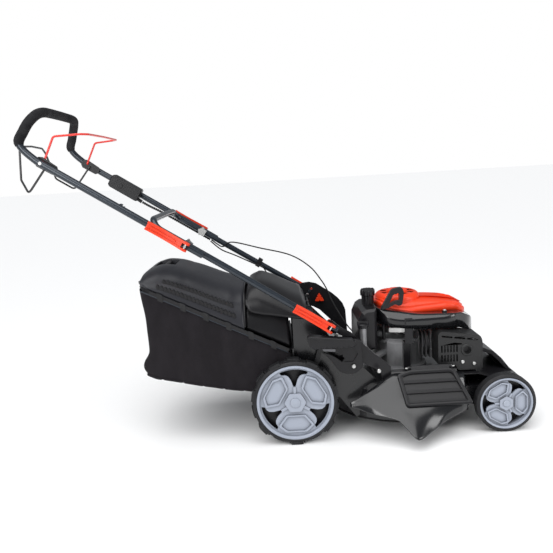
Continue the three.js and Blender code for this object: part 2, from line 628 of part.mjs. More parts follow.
// Right: a small plate at the pivot and a pressed strip that runs down to the side outlet.
part('bracket_right', cut(
  join(
    alongY(rounded([[102, 384], [106, 418], [134, 426], [160, 402], [204, 372], [204, 365],
      [176, 365], [152, 376], [130, 380]], 6, 1), -plateOut, -plateIn),
    box(178, 203, -plateOut, STRIP.in, 366, 371),
    alongY(rounded([[174, 386], [203, 370], [276, 292], [317, 260], [STRIP.foot, 240, 1],
      [STRIP.foot, 185.3, 1], [308, 185.3, 1], [300, 226], [224, 266], [186, 306], [172, 350]], 8, 1),
    STRIP.out, STRIP.in),
    box(308, STRIP.foot, STRIP.out, STRIP.in + 22, 185.3, 190)),
  pivotHole), MATERIAL.plastic);

// ---------------------------------------------------------------- cutting height control
const quadrantY = [-(plateIn - GAP), -(REAR.face - REAR.width + 1)];
const onArc = (radius, degrees) => [rearPivot.x + radius * Math.sin(radians(degrees)),
  rearPivot.z + radius * Math.cos(radians(degrees))];
const notches = Array.from({ length: 6 }, (_, i) =>
  acrossY(...onArc(LEVER.crossing + 9, LEVER.angle - 8 + i * 7), 3.5, 8));
const recess = alongY(circle(31, 6, 190, 300), quadrantY[0] - 5, quadrantY[0] + 4);
part('height_quadrant', cut(
  alongY(rounded([[84, 322], [84, 362], [150, 360], [232, 348], [238, 252], [206, 228], [168, 234],
    [152, 246], [140, 266], [116, 298]], 7, 1), ...quadrantY, 1),
  alongY(arcBand(LEVER.crossing - 8, LEVER.crossing + 8, 90 - LEVER.angle - LEVER.down - 4,
    90 - LEVER.angle + LEVER.up + 9, 8, rearPivot.x, rearPivot.z), quadrantY[0] - 20,
  quadrantY[1] + 20),
  ...notches, recess), MATERIAL.plastic);

const lane = [-(AXLE.inner + AXLE.arm + 5), -(AXLE.inner + AXLE.arm + GAP)];
const leverOut = -(plateOut + 3);
const gripIn = -(LOWER_Y.foot + HANDLE.lowerR + 1);
const gripOut = gripIn - 35;
const [kneeX, kneeZ] = onArc(LEVER.crossing, LEVER.angle);
const knee = [[kneeX - 7, kneeZ - 6], [kneeX + 7, kneeZ - 6], [kneeX + 7, kneeZ + 6],
  [kneeX - 7, kneeZ + 6]];
const ribs = Array.from({ length: 6 }, (_, i) => {
  const x = 92 + i * 18;
  return alongY(polygon([[x, 339], [x + 5, 339], [x + 5, 348], [x, 348]]), gripOut - 2, gripOut + 4);
});
part('height_lever', cut(
  join(
    alongY(rounded([[rearPivot.x - 15, rearPivot.z - 16], [rearPivot.x + 15, rearPivot.z - 16],
      [rearPivot.x + 12, rearPivot.z + 30], [kneeX + 7, kneeZ + 6], [kneeX - 7, kneeZ + 6],
      [rearPivot.x - 12, rearPivot.z + 30]], 6, 1), ...lane),
    alongY(polygon(knee), leverOut - 4, lane[0] + 1),
    alongY(rounded([[kneeX - 7, kneeZ - 6], [kneeX + 9, kneeZ - 6], [150, 340], [120, 362],
      [80, 352]], 5, 1), leverOut - 4, leverOut),
    alongY(rounded([[51, 362], [50, 388], [70, 385], [208, 366], [209, 340], [62, 342]], 11, 1),
      gripOut, gripIn, 3),
    alongY(rounded([[88, 346], [158, 346], [158, 362], [88, 362]], 4, 1), gripIn - 2, leverOut),
    alongY(rounded([[92, 352], [144, 346], [144, 328], [100, 334]], 6, 1), gripOut + 6, leverOut - 2)),
  acrossY(rearPivot.x, rearPivot.z, driveShaft + RUN), ...ribs), MATERIAL.plastic);

// ================================================================ grass bag
// Rings of a shell whose top is a broad flattened dome. Rows give x, half width, rim and crest.
const domeRing = ([x, half, rim, crest], steps = 8) => {
  const top = Array.from({ length: steps + 1 }, (_, i) => {
    const t = -1 + (2 * i) / steps;
    const lift = (1 - Math.abs(t) ** 3.4) ** 0.8;
    return V(x, half * Math.sign(t) * Math.abs(t) ** 0.7, rim + 8 + (crest - rim - 8) * lift);
  });
  return [...top, V(x, half, rim), V(x, -half, rim)];
};
const dome = (rows) => loft(rows.map((row) => domeRing(row)));
const insetRows = (rows, wall, drop) => rows.map(([x, half, rim, crest], i) => {
  const end = i === 0 ? wall : i === rows.length - 1 ? -wall : 0;
  return [x + end, half - wall, rim - drop, crest - wall];
});

const bagRim = (x) => 309 - x * 0.5;
const bandHeight = 12;
const seat = (x) => bagRim(x) + bandHeight * 1.118 + GAP;
const bagTopRows = [
  [-507, BAG.half - 37, seat(-507), 578], [-499, BAG.half - 19, seat(-499), 600], [-478, BAG.half - 7, seat(-478), 612],
  [-433, BAG.half - 5, seat(-433), 621], [-353, BAG.half - 5, seat(-353), 603], [-200, BAG.half - 5, seat(-200), 546],
  [-157, BAG.half - 5, seat(-157), 531], [-153, BAG.half - 27, seat(-153), 508], [-60, BAG.half - 29, seat(-60), 520],
  [-6, BAG.half - 31, seat(-6), 490],
];
const bagInside = insetRows(bagTopRows, BAG.wall, 12);
bagInside.at(-1)[0] = 6;
const pocket = { x0: -470, x1: -396, half: 58, floor: 588 };
const pocketBody = (grow) => alongZ(rounded([
  [pocket.x0 - grow, -pocket.half - grow], [pocket.x1 + grow, -pocket.half - grow],
  [pocket.x1 + grow, pocket.half + grow], [pocket.x0 - grow, pocket.half + grow]], 16, 1),
pocket.floor - grow, grow ? 606 : 640);
part('bag_top', join(
  cut(join(cut(dome(bagTopRows), dome(bagInside)), pocketBody(BAG.wall)), pocketBody(0)),
  rod(V(-432, -pocket.half - 1, 611), V(-432, pocket.half + 1, 611), 8, 12)), MATERIAL.plastic);

// The frame carries the mouth plate and the rim band the fabric hangs from.
const rimSlope = Math.atan(0.5);
const rimX = V(-Math.cos(rimSlope), 0, Math.sin(rimSlope));
const rimUp = V(Math.sin(rimSlope), 0, Math.cos(rimSlope));
const onRim = (shape, low, high) => placed(extruded(shape, high - low), rimX, V(0, -1, 0),
  V(0, 0, bagRim(0)).addScaledVector(rimUp, low));
const rimOutline = (inset) => {
  const [half, rear] = [BAG.half - inset, 568 - inset];
  return rounded([[2 + inset, -half], [rear - 30, -half], [rear, -half + 34], [rear, half - 34],
    [rear - 30, half], [2 + inset, half]], 14, 1);
};
part('bag_frame', join(
  alongX(withHoles(rounded([[5 - BAG.half, 223], [BAG.half - 5, 223], [BAG.half - 1, 300],
    [BAG.half - 1, 324], [1 - BAG.half, 324], [1 - BAG.half, 300]], 10, 1), polygon([[TUNNEL.right + 4, 234], [TUNNEL.left - 4, 234],
    [TUNNEL.left - 4, 312], [TUNNEL.right + 4, 312]])), MOUTH.rear, MOUTH.front),
  onRim(withHoles(rimOutline(0), rimOutline(6)), 0, bandHeight)), MATERIAL.plastic);

const fabricFront = MOUTH.rear - GAP;
const fabricSide = [[fabricFront, 340], [fabricFront, 240], [-14, 222], [-62, 184], [-154, 180], [-322, 209],
  [-474, 243], [-512, 262], [-516, 284], [-497, 316], [-490, 344], [-493, 421], [-505, 600]];
const insideFabric = [[-4, 360], [-4, 242], [-17, 225], [-64, 187], [-154, 183], [-321, 212],
  [-473, 246], [-508, 264], [-511, 283], [-494, 316], [-487, 344], [-490, 421], [-502, 620]];
const fabricHalf = BAG.half - 4;
part('bag_fabric', cut(
  alongY(polygon(fabricSide), -fabricHalf, fabricHalf, 8),
  alongY(polygon(insideFabric), -fabricHalf + BAG.wall, fabricHalf - BAG.wall, 7),
  box(-12, 5, TUNNEL.right + 4, TUNNEL.left - 4, 240, 320),
  alongY(polygon([[60, bagRim(60) - GAP], [-560, bagRim(-560) - GAP], [-560, 700], [60, 700]]),
    -300, 300)), MATERIAL.fabric);

// ---------------------------------------------------------------- rear flap
const flapRows = [
  [-149, BAG.half - 25, 476, 520], [-140, BAG.half - 17, 462, 538], [-116, BAG.half - 15, 452, 550], [-90, BAG.half - 15, 446, 552],
  [45, BAG.half - 15, 424, 490], [58, BAG.half - 21, 428, 468],
];
const flapInside = insetRows(flapRows, 3, 12);
flapInside[0] = [-150.5, BAG.half - 28, 464, 516.5];
part('rear_flap', join(
  cut(dome(flapRows), dome(flapInside), box(-200, 100, TUNNEL.right - 3, TUNNEL.left + 3, 300,
    TUNNEL.top + 3)),
  ...REAR_FLAP.webs.map((y) => box(55, REAR_FLAP.x + 2, y, y + 10, 446, 456)),
  rod(V(REAR_FLAP.x, REAR_FLAP.pin[0], REAR_FLAP.z), V(REAR_FLAP.x, REAR_FLAP.pin[1], REAR_FLAP.z),
    REAR_FLAP.radius, 12)), MATERIAL.plastic);

// ================================================================ engine
const crankX = DECK.x;
const ENGINE = { base: DECK.top + GAP, flange: 197, radius: 90, case: 300, bore: SHAFT.radius + 1.5 };
const fins = Array.from({ length: 5 }, (_, i) => {
  const x = 436 + i * 14;
  return alongX(rounded([[-62, 216], [62, 216], [62, 314], [-62, 314]], 12, 1), x, x + 3.5);
});
const headX = 508;
const postAngles = [-130, -58, 58, 130];   // posts that carry the blower housing
part('engine_block', cut(
  join(
    revolveZ([[0, ENGINE.base], [104, ENGINE.base], [104, ENGINE.flange - 2], [100, ENGINE.flange],
      [92, ENGINE.flange + 2], [ENGINE.radius, ENGINE.case - 14], [78, ENGINE.case], [0, ENGINE.case]], 20, crankX),
    ...postAngles.map((angle) => alongZ(polygon([[60, -7], [105, -7], [105, 7], [60, 7]]),
      ENGINE.case - 10, ENGINE.case).rotate([0, 0, angle]).translate([crankX, 0, 0])),
    rod(V(470, 0, 265), V(headX, 0, 265), 44, 14), box(420, 440, -55, 55, 218, 312), ...fins,
    box(424, headX, -6, 6, 216, 314),
    box(300, 350, 60, 72, 236, 262), box(300, 308, 60, 128, 236, 262),
    wire(bent([V(345, -52, 250), V(290, OIL.y + 18, 257), V(OIL.x, OIL.y, 300),
      V(OIL.x, OIL.y, OIL.seat)], 26), 12, 10)),
  revolveZ([[0, 150], [ENGINE.bore, 150], [ENGINE.bore, 400], [0, 400]], 12, crankX),
  revolveZ([[0, OIL.seat - 24], [8, OIL.seat - 24], [8, 500], [0, 500]], 10, OIL.x, OIL.y)),
MATERIAL.alloy);

const headFins = Array.from({ length: 3 }, (_, i) =>
  alongZ(rounded([[headX + GAP, -66], [headX + 34, -66], [headX + 34, 66], [headX + GAP, 66]], 6, 1),
    218 + i * 28, 222 + i * 28));
part('cylinder_head', cut(
  join(
    alongX(rounded([[-58, 214], [58, 214], [58, 316], [-58, 316]], 10, 1), headX + GAP, headX + 28),
    ...headFins,
    alongX(rounded([[-30, 222], [48, 222], [48, 300], [-30, 300]], 14, 1), headX + 26, headX + 72, 4)),
  rod(V(PLUG.seat - 30, PLUG.y, PLUG.z - 9), V(PLUG.seat, PLUG.y, PLUG.z), 7.4, 12)),
MATERIAL.alloy);
part('spark_plug', join(
  rod(V(PLUG.seat - 24, PLUG.y, PLUG.z - 7.2), V(PLUG.seat, PLUG.y, PLUG.z), 6.6, 12),
  rod(V(PLUG.seat, PLUG.y, PLUG.z), V(PLUG.seat + 10, PLUG.y, PLUG.z + 3), 9.4, 6),
  rod(V(PLUG.seat + 6, PLUG.y, PLUG.z + 1.8), V(PLUG.end - 14, PLUG.y, PLUG.z + 18), 8, 10, 9),
  rod(V(PLUG.end - 16, PLUG.y, PLUG.z + 17), V(PLUG.end, PLUG.y, PLUG.z + 21), 12, 10, 10)),
MATERIAL.heat);

const carbY = { in: 93, out: 132 };
part('carburettor', join(
  alongY(rounded([[436, 236], [492, 236], [492, 284], [436, 284]], 8, 1), carbY.in, carbY.out - 8),
  rod(V(481, 62 + GAP, 262), V(481, carbY.in + 2, 262), 9, 12),
  revolveZ([[0, 208], [18, 208], [21, 213], [21, 238], [0, 238]], 12, 462, 108),
  rod(V(462, carbY.out - 12, 260), V(462, carbY.out, 260), 19, 14),
  rod(V(424, 104, 274), V(500, 104, 274), 3, 8)), MATERIAL.alloy);
part('air_filter', join(
  alongY(rounded([[398, 214], [504, 214], [504, 330], [398, 330]], 16, 2), carbY.out + GAP, 178, 4),
  ...[0, 1, 2, 3, 4].map((i) => alongY(rounded([[410, 228 + i * 20], [492, 228 + i * 20],
    [492, 236 + i * 20], [410, 236 + i * 20]], 3, 1), 176, 182)),
  rod(V(451, 176, 322), V(451, 188, 322), 8, 12)), MATERIAL.plastic);

// ---------------------------------------------------------------- exhaust
const GUARD = { face: FLAP.y + 26, wall: 2.5 };
const can = { y0: GUARD.face + 16, y1: -102 };
const guardScrews = [[590, 234], [630, 226]];
part('muffler', cut(
  join(
    alongY(rounded([[520, 232], [570, 232], [582, 212], [648, 212], [648, 306], [520, 316]], 16, 1),
      can.y0, can.y1, 5),
    alongY(circle(17, 14, 606, 276), can.y0 - 10, can.y0 + 8),
    ...guardScrews.map(([x, z]) => alongY(circle(6, 8, x, z), GUARD.face + GUARD.wall + GAP, can.y0 + 4)),
    rod(V(540, can.y1 - 10, 262), V(540, -66 - GAP, 262), 13, 14)),
  alongY(circle(12, 14, 606, 276), can.y0 - 12, can.y0 - 2)), MATERIAL.heat);
const guardSlots = Array.from({ length: 5 }, (_, i) =>
  box(522, 582, GUARD.face - 20, GUARD.face + 10, 240 + i * 16, 248 + i * 16));
const guardSide = [[506, 224], [566, 224], [574, 204], [660, 204], [660, 306], [652, 326], [516, 346], [506, 336]];
part('muffler_guard', cut(
  alongY(rounded(guardSide, 8, 2), GUARD.face, -92, 3),
  alongY(rounded(inset(guardSide, GUARD.wall), 6, 2), GUARD.face + GUARD.wall, -60),
  ...guardSlots, alongY(circle(20, 14, 606, 276), GUARD.face - 10, GUARD.face + 20),
  ...[0, 1].map((i) => box(530 + i * 60, 574 + i * 60, -166, -104, 300, 360)),
  ...guardScrews.map(([x, z]) => alongY(circle(3, 10, x, z), GUARD.face - 10, GUARD.face + 20))),
MATERIAL.heat);

// ---------------------------------------------------------------- fuel and oil
const crankcase = (grow) => revolveZ([[0, 200], [ENGINE.radius + grow, 200],
  [ENGINE.radius + grow, ENGINE.case - 14], [0, ENGINE.case - 14]], 20, crankX);
const tankSide = [[236, 300], [238, 388], [252, 418], [268, 428], [303, 430], [303, 286], [262, 276]];
const tankRight = OIL.y + 22;
part('fuel_tank', cut(
  join(
    alongY(polygon(tankSide), tankRight, 60, 9),
    box(294, crankX - ENGINE.radius + 4, -14, 14, 277, ENGINE.case - 14),
    revolveZ([[0, 420], [20, 420], [20, CAP.seat], [0, CAP.seat]], 20, CAP.x, CAP.y)),
  revolveZ([[0, 380], [16, 380], [16, 500], [0, 500]], 20, CAP.x, CAP.y),
  alongY(polygon(inset(tankSide, 4)), tankRight + 4, 56, 6), crankcase(GAP)), MATERIAL.plastic);
part('fuel_cap', cut(
  join(
    revolveZ([[0, CAP.seat - 6], [14.5, CAP.seat - 6], [14.5, CAP.seat + GAP], [21, CAP.seat + GAP],
      [21, CAP.seat - 9], [26, CAP.seat - 9], [26, CAP.top - 6],
      [22, CAP.top - 2], [0, CAP.top - 2]], 14, CAP.x, CAP.y),
    alongZ(rounded([[CAP.x - 22, CAP.y - 5], [CAP.x + 22, CAP.y - 5], [CAP.x + 22, CAP.y + 5],
      [CAP.x - 22, CAP.y + 5]], 4, 1), CAP.top - 4, CAP.top)),
  revolveZ([[0, CAP.seat - 10], [11, CAP.seat - 10], [11, CAP.seat + 8], [0, CAP.seat + 8]], 16,
    CAP.x, CAP.y)), MATERIAL.plastic);
part('oil_cap', join(
  revolveZ([[0, OIL.seat + GAP], [19, OIL.seat + GAP], [19, OIL.seat + 12], [15, OIL.seat + 15],
    [0, OIL.seat + 15]], 18, OIL.x, OIL.y),
  alongZ(rounded([[OIL.x - 20, OIL.y - 4], [OIL.x + 20, OIL.y - 4], [OIL.x + 20, OIL.y + 4],
    [OIL.x - 20, OIL.y + 4]], 3, 1), OIL.seat + 10, OIL.seat + 24),
  revolveZ([[0, OIL.seat - 22], [3, OIL.seat - 22], [3, OIL.seat + 2], [0, OIL.seat + 2]], 8,
    OIL.x, OIL.y)), MATERIAL.plastic);

// ---------------------------------------------------------------- blower housing and starter
const shellPlan = [[308, -96], [336, -140], [392, -150], [560, -148], [636, -104], [664, -56],
  [664, 56], [636, 104], [560, 148], [392, 150], [336, 140], [308, 96]];
const shellTop = [[304, 424], [365, 416], [452, 402], [601, 396], [650, 372]];
const shellSide = [[300, 380], [366, 364], [452, 356], [590, 350], [664, 322], [668, 330],
  ...shellTop.toReversed()];
function roofAt(x) {
  const i = shellTop.findIndex(([ahead]) => ahead >= x);
  const [[x0, z0], [x1, z1]] = [shellTop[i - 1], shellTop[i]];
  return z0 + ((z1 - z0) * (x - x0)) / (x1 - x0);
}
const shellEnd = [[-152, 300], [-152, 386], [-128, 412], [-96, 436], [96, 436], [128, 412],
  [152, 386], [152, 300]];
const shell = (by) => alongZ(rounded(inset(shellPlan, by), 22, 1), 300, 480)
  .intersect(alongY(polygon(shellSide.map(([x, z], i) => [x, i < 5 ? z - by * 4 : z - by])), -200, 200))
  .intersect(alongX(polygon(inset(shellEnd, by)), 290, 700));
const postRadius = 98;
const posts = postAngles.map((angle) => {
  const [x, y] = [crankX + postRadius * Math.cos(radians(angle)), postRadius * Math.sin(radians(angle))];
  return revolveZ([[0, ENGINE.case + GAP], [6, ENGINE.case + GAP], [6, roofAt(x) - 1.5],
    [0, roofAt(x) - 1.5]], 6, x, y);
});
const screwBoss = (x, y, z) => revolveZ([[0, z - 12], [9, z - 12], [9, z], [0, z]], 10, x, y);
part('blower_housing', cut(
  join(
    cut(shell(0), shell(3)),
    box(398, 426, -149.5, -146, 300, 386), box(400, 424, -112, -109, 198, 304),
    box(398, 426, -149.5, -109, 300, 304), ...posts,
    screwBoss(548, -112, 402), screwBoss(548, 112, 402)),
  revolveZ([[0, 380], [84, 380], [84, 440], [0, 440]], 20, crankX),
  box(600, 680, -74, -26, 290, 346)), MATERIAL.plastic);

const starterPlan = [[312, -34], [332, -70], [372, -92], [420, -96], [480, -92], [560, -88], [620, -72],
  [646, -30], [646, 30], [620, 72], [560, 88], [480, 92], [420, 96], [372, 92], [332, 70], [312, 34]];
const starterSide = [...shellTop.map(([x, z]) => [x, z + GAP]), [654, 380],
  [640, 402], [600, 424], [520, 436], [430, 440], [360, 452], [318, 448]];
const starterEnd = [[-98, 380], [-98, 408], [-80, 430], [-52, 446], [52, 446], [80, 430], [98, 408],
  [98, 380]];
const tier = (by, bottom) => alongZ(polygon(inset(starterPlan, by)), 370, 480)
  .intersect(alongY(polygon(starterSide.map(([x, z], i) => [x, i < 5 ? z - bottom : z - by])), -120, 120))
  .intersect(alongX(polygon(inset(starterEnd, by)), 290, 700));
const crown = (by) => revolveZ([[0, 421], [82 - by, 421], [82 - by, 444 - by], [76 - by, 458 - by],
  [58, 468 - by], [0, 471 - by]], 18, crankX + 2);
const vents = Array.from({ length: 8 }, (_, i) => alongZ(
  arcBand(42, 70, i * 45, i * 45 + 24, 1, crankX + 2, 0), 448, 480));
const sideVents = [-1, 1].flatMap((side) => Array.from({ length: 3 }, (_, i) => {
  const x = 510 + i * 32;
  const [low, high] = side > 0 ? [60, 120] : [-120, -60];
  return box(x, x + 8, low, high, 412, 422);
}));
part('starter_cover', cut(
  join(tier(0, 0), crown(0),
    alongZ(rounded([[470, -20], [625, -26], [634, 0], [625, 26], [470, 20]], 12, 1), 420, 447)
      .intersect(alongY(polygon([[460, 400], [460, 462], [560, 444], [640, 416], [640, 400]]), -60, 60))),
  tier(2.5, 10),
  crown(2.5), ...vents, ...sideVents,
  box(RECOIL.x - 4, RECOIL.x + 4, -140, -60, 425, 433)), MATERIAL.orange);

const gripPlan = [[320, 420], [362, 492], [398, 498], [405, 480], [398, 436], [386, 431], [372, 438],
  [346, 424]];
part('recoil_handle', cut(
  alongY(rounded(gripPlan, 9, 2), RECOIL.y - 11, RECOIL.y + 11, 4),
  alongY(rounded([[350, 440], [368, 474], [388, 478], [388, 450], [376, 450]], 7, 1),
    RECOIL.y - 20, RECOIL.y + 20)), MATERIAL.plastic);

// ---------------------------------------------------------------- crankshaft, blade and drive
const groove = (radius, z, depth = 8) => [[radius, z - 9], [radius - depth, z - 4],
  [radius - depth, z + 4], [radius, z + 9]];
part('crankshaft', join(
  revolveZ([[0, CUT.z - 18], [11, CUT.z - 18], [11, CUT.z - 10], [20, CUT.z - 10],
    [20, CUT.z - CUT.blade / 2 - GAP], [SHAFT.taper, CUT.z - CUT.blade / 2 - GAP],
    [SHAFT.taper, CUT.z + CUT.blade / 2 + GAP], [24, CUT.z + CUT.blade / 2 + GAP], [24, 98], [SHAFT.radius, 100], [SHAFT.radius, 126],
    [SHAFT.pulley, 127], ...groove(SHAFT.pulley, SHAFT.pulleyZ), [SHAFT.pulley, 149],
    [SHAFT.radius, 150], [SHAFT.radius, 318], [80, 321], [88, 326], [88, 342], [36, 344], [36, 364],
    [30, 366], [0, 366]], 12, crankX),
  ...Array.from({ length: 8 }, (_, i) => alongZ(polygon([[40, -1.5], [84, -1.5], [84, 1.5],
    [40, 1.5]]), 340, 360).rotate([0, 0, i * 45]).translate([crankX, 0, 0]))),
MATERIAL.steel);

const bladeHalf = CUT.width / 2;
const [bladeLow, bladeHigh] = [CUT.z - CUT.blade / 2, CUT.z + CUT.blade / 2];
const tip = CUT.half;
const sail = (turn) => alongX(polygon([[8, bladeLow], [bladeHalf - 4, bladeLow],
  [bladeHalf + 1, bladeLow + 16], [bladeHalf - 3, bladeLow + 16], [bladeHalf - 8, bladeHigh],
  [8, bladeHigh]]), tip - 76, tip).rotate([0, 0, turn]);
part('blade', cut(
  join(
    alongZ(polygon([[-tip, -bladeHalf], [-110, -bladeHalf], [-100, -bladeHalf + 4],
      [100, -bladeHalf + 4], [110, -bladeHalf + 8], [tip - 8, -bladeHalf + 10],
      [tip, -bladeHalf + 14], [tip, bladeHalf], [110, bladeHalf], [100, bladeHalf - 4],
      [-100, bladeHalf - 4], [-110, bladeHalf - 8], [8 - tip, bladeHalf - 10],
      [-tip, bladeHalf - 14]]),
    bladeLow, bladeHigh),
    sail(0), sail(180)),
  revolveZ([[0, bladeLow - 5], [SHAFT.taper + GAP, bladeLow - 5], [SHAFT.taper + GAP, bladeHigh + 5],
    [0, bladeHigh + 5]], 20)).translate([crankX, 0, 0]), MATERIAL.steel);

const shaftEnd = AXLE.inner + AXLE.arm - 0.5;
part('gearbox', join(
  alongY(rounded([[26, 150], [86, 150], [86, 194], [70, 202], [30, 202]], 8, 1),
    GEARBOX.y - 27, GEARBOX.y + 25, 3),
  rod(V(62, -shaftEnd, rearPivot.z), V(62, shaftEnd, rearPivot.z), driveShaft),
  rod(V(62, GEARBOX.y - 37, rearPivot.z), V(62, GEARBOX.y + 31, rearPivot.z), 16),
  revolveZ([[0, 150], [10, 152], [10, 147], [GEARBOX.pulley, 147],
    ...groove(GEARBOX.pulley, SHAFT.pulleyZ).reverse(), [GEARBOX.pulley, 129], [0, 129]], 14,
  GEARBOX.pulleyX, GEARBOX.y),
  box(40, 60, GEARBOX.y + 3, GEARBOX.y + 11, 200, 217.4)), MATERIAL.alloy);

// The belt runs round both pulleys in one plane.
function beltLoop(radiusA, radiusB, from, to, steps) {
  const along = Math.atan2(to[1] - from[1], to[0] - from[0]);
  const distance = Math.hypot(to[0] - from[0], to[1] - from[1]);
  const wrap = Math.acos((radiusA - radiusB) / distance);
  const half = (centre, radius, start, end) => Array.from({ length: steps + 1 }, (_, i) => {
    const a = start + ((end - start) * i) / steps;
    return [centre[0] + radius * Math.cos(a), centre[1] + radius * Math.sin(a)];
  });
  return [...half(to, radiusB, along - wrap, along + wrap),
    ...half(from, radiusA, along + wrap, along + 2 * Math.PI - wrap)];
}
const beltIn = (offset) => beltLoop(SHAFT.pulley - 8 + GAP + offset, GEARBOX.pulley - 8 + GAP + offset,
  [crankX, 0], [GEARBOX.pulleyX, GEARBOX.y], 12);
part('drive_belt', alongZ(withHoles(polygon(beltIn(7)), polygon(beltIn(0))),
  SHAFT.pulleyZ - 3.7, SHAFT.pulleyZ + 3.7), MATERIAL.tyre);

// ================================================================ handle
const jointBolt = onHandle(JOINT_X, 0);
const flip = ({ x, y, z }) => V(x, -y, z);
const mirrored = (half) => [...half, ...half.slice(0, -1).reverse().map(flip)];

const lowerHalf = [onHandle(152, LOWER_Y.foot), onHandle(20, LOWER_Y.foot),
  onHandle(-190, LOWER_Y.joint), onHandle(-418, LOWER_Y.joint), onHandle(-440, 205, 13),
  onHandle(-440, 0, 15)];
const lowerPath = bent(mirrored(lowerHalf), 42);
const stopPin = onHandle(HANDLE.pivotX + lean.x * TILT.radius, 0);
const jointHole = acrossY(jointBolt.x, jointBolt.z, BOLT + RUN);
part('lower_handle', cut(
  join(wire(lowerPath, HANDLE.lowerR),
    rod(V(stopPin.x, plateIn - 3, stopPin.z), V(stopPin.x, LOWER_Y.foot - 4, stopPin.z), 3.5, 10)),
  pivotHole, jointHole), MATERIAL.tube);

const upperEnd = -272;
const gripHalf = [onHandle(-770, UPPER_Y), V(-806, UPPER_Y - 1.3, 1032), V(-821, UPPER_Y - 4.3, 1060),
  V(-808, UPPER_Y - 16.3, 1092), V(-794, UPPER_Y - 34.3, 1122), V(-778, UPPER_Y - 65.3, 1147),
  V(-769, UPPER_Y - 105.3, 1157), V(-774, 70, 1161), V(-776, 0, 1162)];
const arcGrip = new THREE.CatmullRomCurve3(mirrored(gripHalf), false, 'centripetal').getPoints(22);
const upperPath = [onHandle(upperEnd, UPPER_Y), ...arcGrip, flip(onHandle(upperEnd, UPPER_Y))];
const guideAt = onHandle(-527, -UPPER_Y + 27, 2);
const guideRing = Array.from({ length: 11 }, (_, i) => {
  const a = (i / 10) * 1.75 * Math.PI + 0.9;
  return guideAt.clone().add(V(9 * Math.cos(a), (i / 10 - 0.5) * 9, 9 * Math.sin(a)));
});
part('upper_handle', cut(
  join(wire(upperPath, HANDLE.upperR), wire(guideRing, 2.2, 6),
    rod(onHandle(-527, -UPPER_Y, 2), guideRing[0], 2.4, 6)),
  jointHole), MATERIAL.tube);

const foamPath = arcGrip.filter((p) => p.z > 1045);
foamPath[0] = foamPath[0].clone().lerp(foamPath[1], 0.3);
foamPath[foamPath.length - 1] = foamPath.at(-1).clone().lerp(foamPath.at(-2), 0.3);
const foamBore = (HANDLE.upperR + 3 * GAP) / Math.cos(Math.PI / 10);
part('foam_grip', sweep(foamPath, withHoles(circle(GRIP_FOAM, 10), circle(foamBore, 10))),
  MATERIAL.foam);

// ---------------------------------------------------------------- clamps
// A clamp lever drawn with its length on x, outward on y and its pin along z.
const leverWidth = 30;
const camLift = 12;
const camSide = [[-11, 10], [-11, 16], [-6, 22], [4, 23], [30, 17], [80, 12], [124, 14], [134, 18],
  [138, 15], [128, 8], [84, 4], [40, 7], [12, 8], [8, 1.5], [-6, 1.5]];
const camLever = (origin, side, length) => {
  const outward = V(0, side, 0);
  const pinAxis = lean.clone().cross(outward);
  const stretch = camSide.map(([x, y]) => [x > 30 ? 30 + ((x - 30) * (length - 30)) / 108 : x, y]);
  const lay = (shape, low, high) => placed(extruded(shape, high - low), lean.clone(), outward,
    origin.clone().addScaledVector(pinAxis, low));
  const through = (shape) => placed(extruded(shape, 60), lean.clone(), pinAxis.clone(),
    origin.clone().addScaledVector(outward, 30));
  return cut(lay(polygon(stretch), -leverWidth / 2, leverWidth / 2),
    lay(polygon([[-20, -5], [14, -5], [14, 40], [-20, 40]]), -5, 5),
    lay(circle(3.2 + RUN, 10, 0, camLift), -30, 30),
    through(rounded([[50, -8], [length - 16, -8], [length - 16, 8], [50, 8]], 8, 1)));
};
// The bolt ends in a cross pin for the lever outside and in a star knob inside.
const clampBolt = (origin, side, inner) => {
  const tip = origin.y + side * camLift;
  const pinAxis = lean.clone().cross(V(0, side, 0));
  const at = V(origin.x, tip, origin.z);
  const star = circlePoints(1, 10).map(([x, z], i) => {
    const radius = i % 2 ? 14 : 19;
    return [origin.x + x * radius, origin.z + z * radius];
  });
  const [low, high] = side > 0 ? [inner - 15, inner - GAP] : [-inner + GAP, -inner + 15];
  return join(
    rod(V(origin.x, side * (inner - 8), origin.z), V(origin.x, tip, origin.z), BOLT, 10),
    rod(at.clone().addScaledVector(pinAxis, -12), at.clone().addScaledVector(pinAxis, 12), 3.2, 8),
    rod(V(origin.x, tip - side * 3, origin.z), V(origin.x, tip + side * 3.6, origin.z), 4.4, 8),
    alongY(polygon(star), low, high));
};
for (const [side, name] of [[1, 'left'], [-1, 'right']]) {
  const upperSeat = jointBolt.clone().setY(side * (UPPER_Y + HANDLE.upperR + GAP));
  const lowerSeat = V(HANDLE.pivotX, side * (LOWER_Y.foot + HANDLE.lowerR + GAP), HANDLE.pivotZ);
  part(`upper_lever_${name}`, camLever(upperSeat, side, 138), MATERIAL.orange);
  part(`lower_lever_${name}`, camLever(lowerSeat, side, 138), MATERIAL.orange);
  part(`upper_bolt_${name}`, clampBolt(upperSeat, side, LOWER_Y.joint - HANDLE.lowerR),
    MATERIAL.steel);
  part(`lower_bolt_${name}`, clampBolt(lowerSeat, side, plateIn), MATERIAL.steel);
}

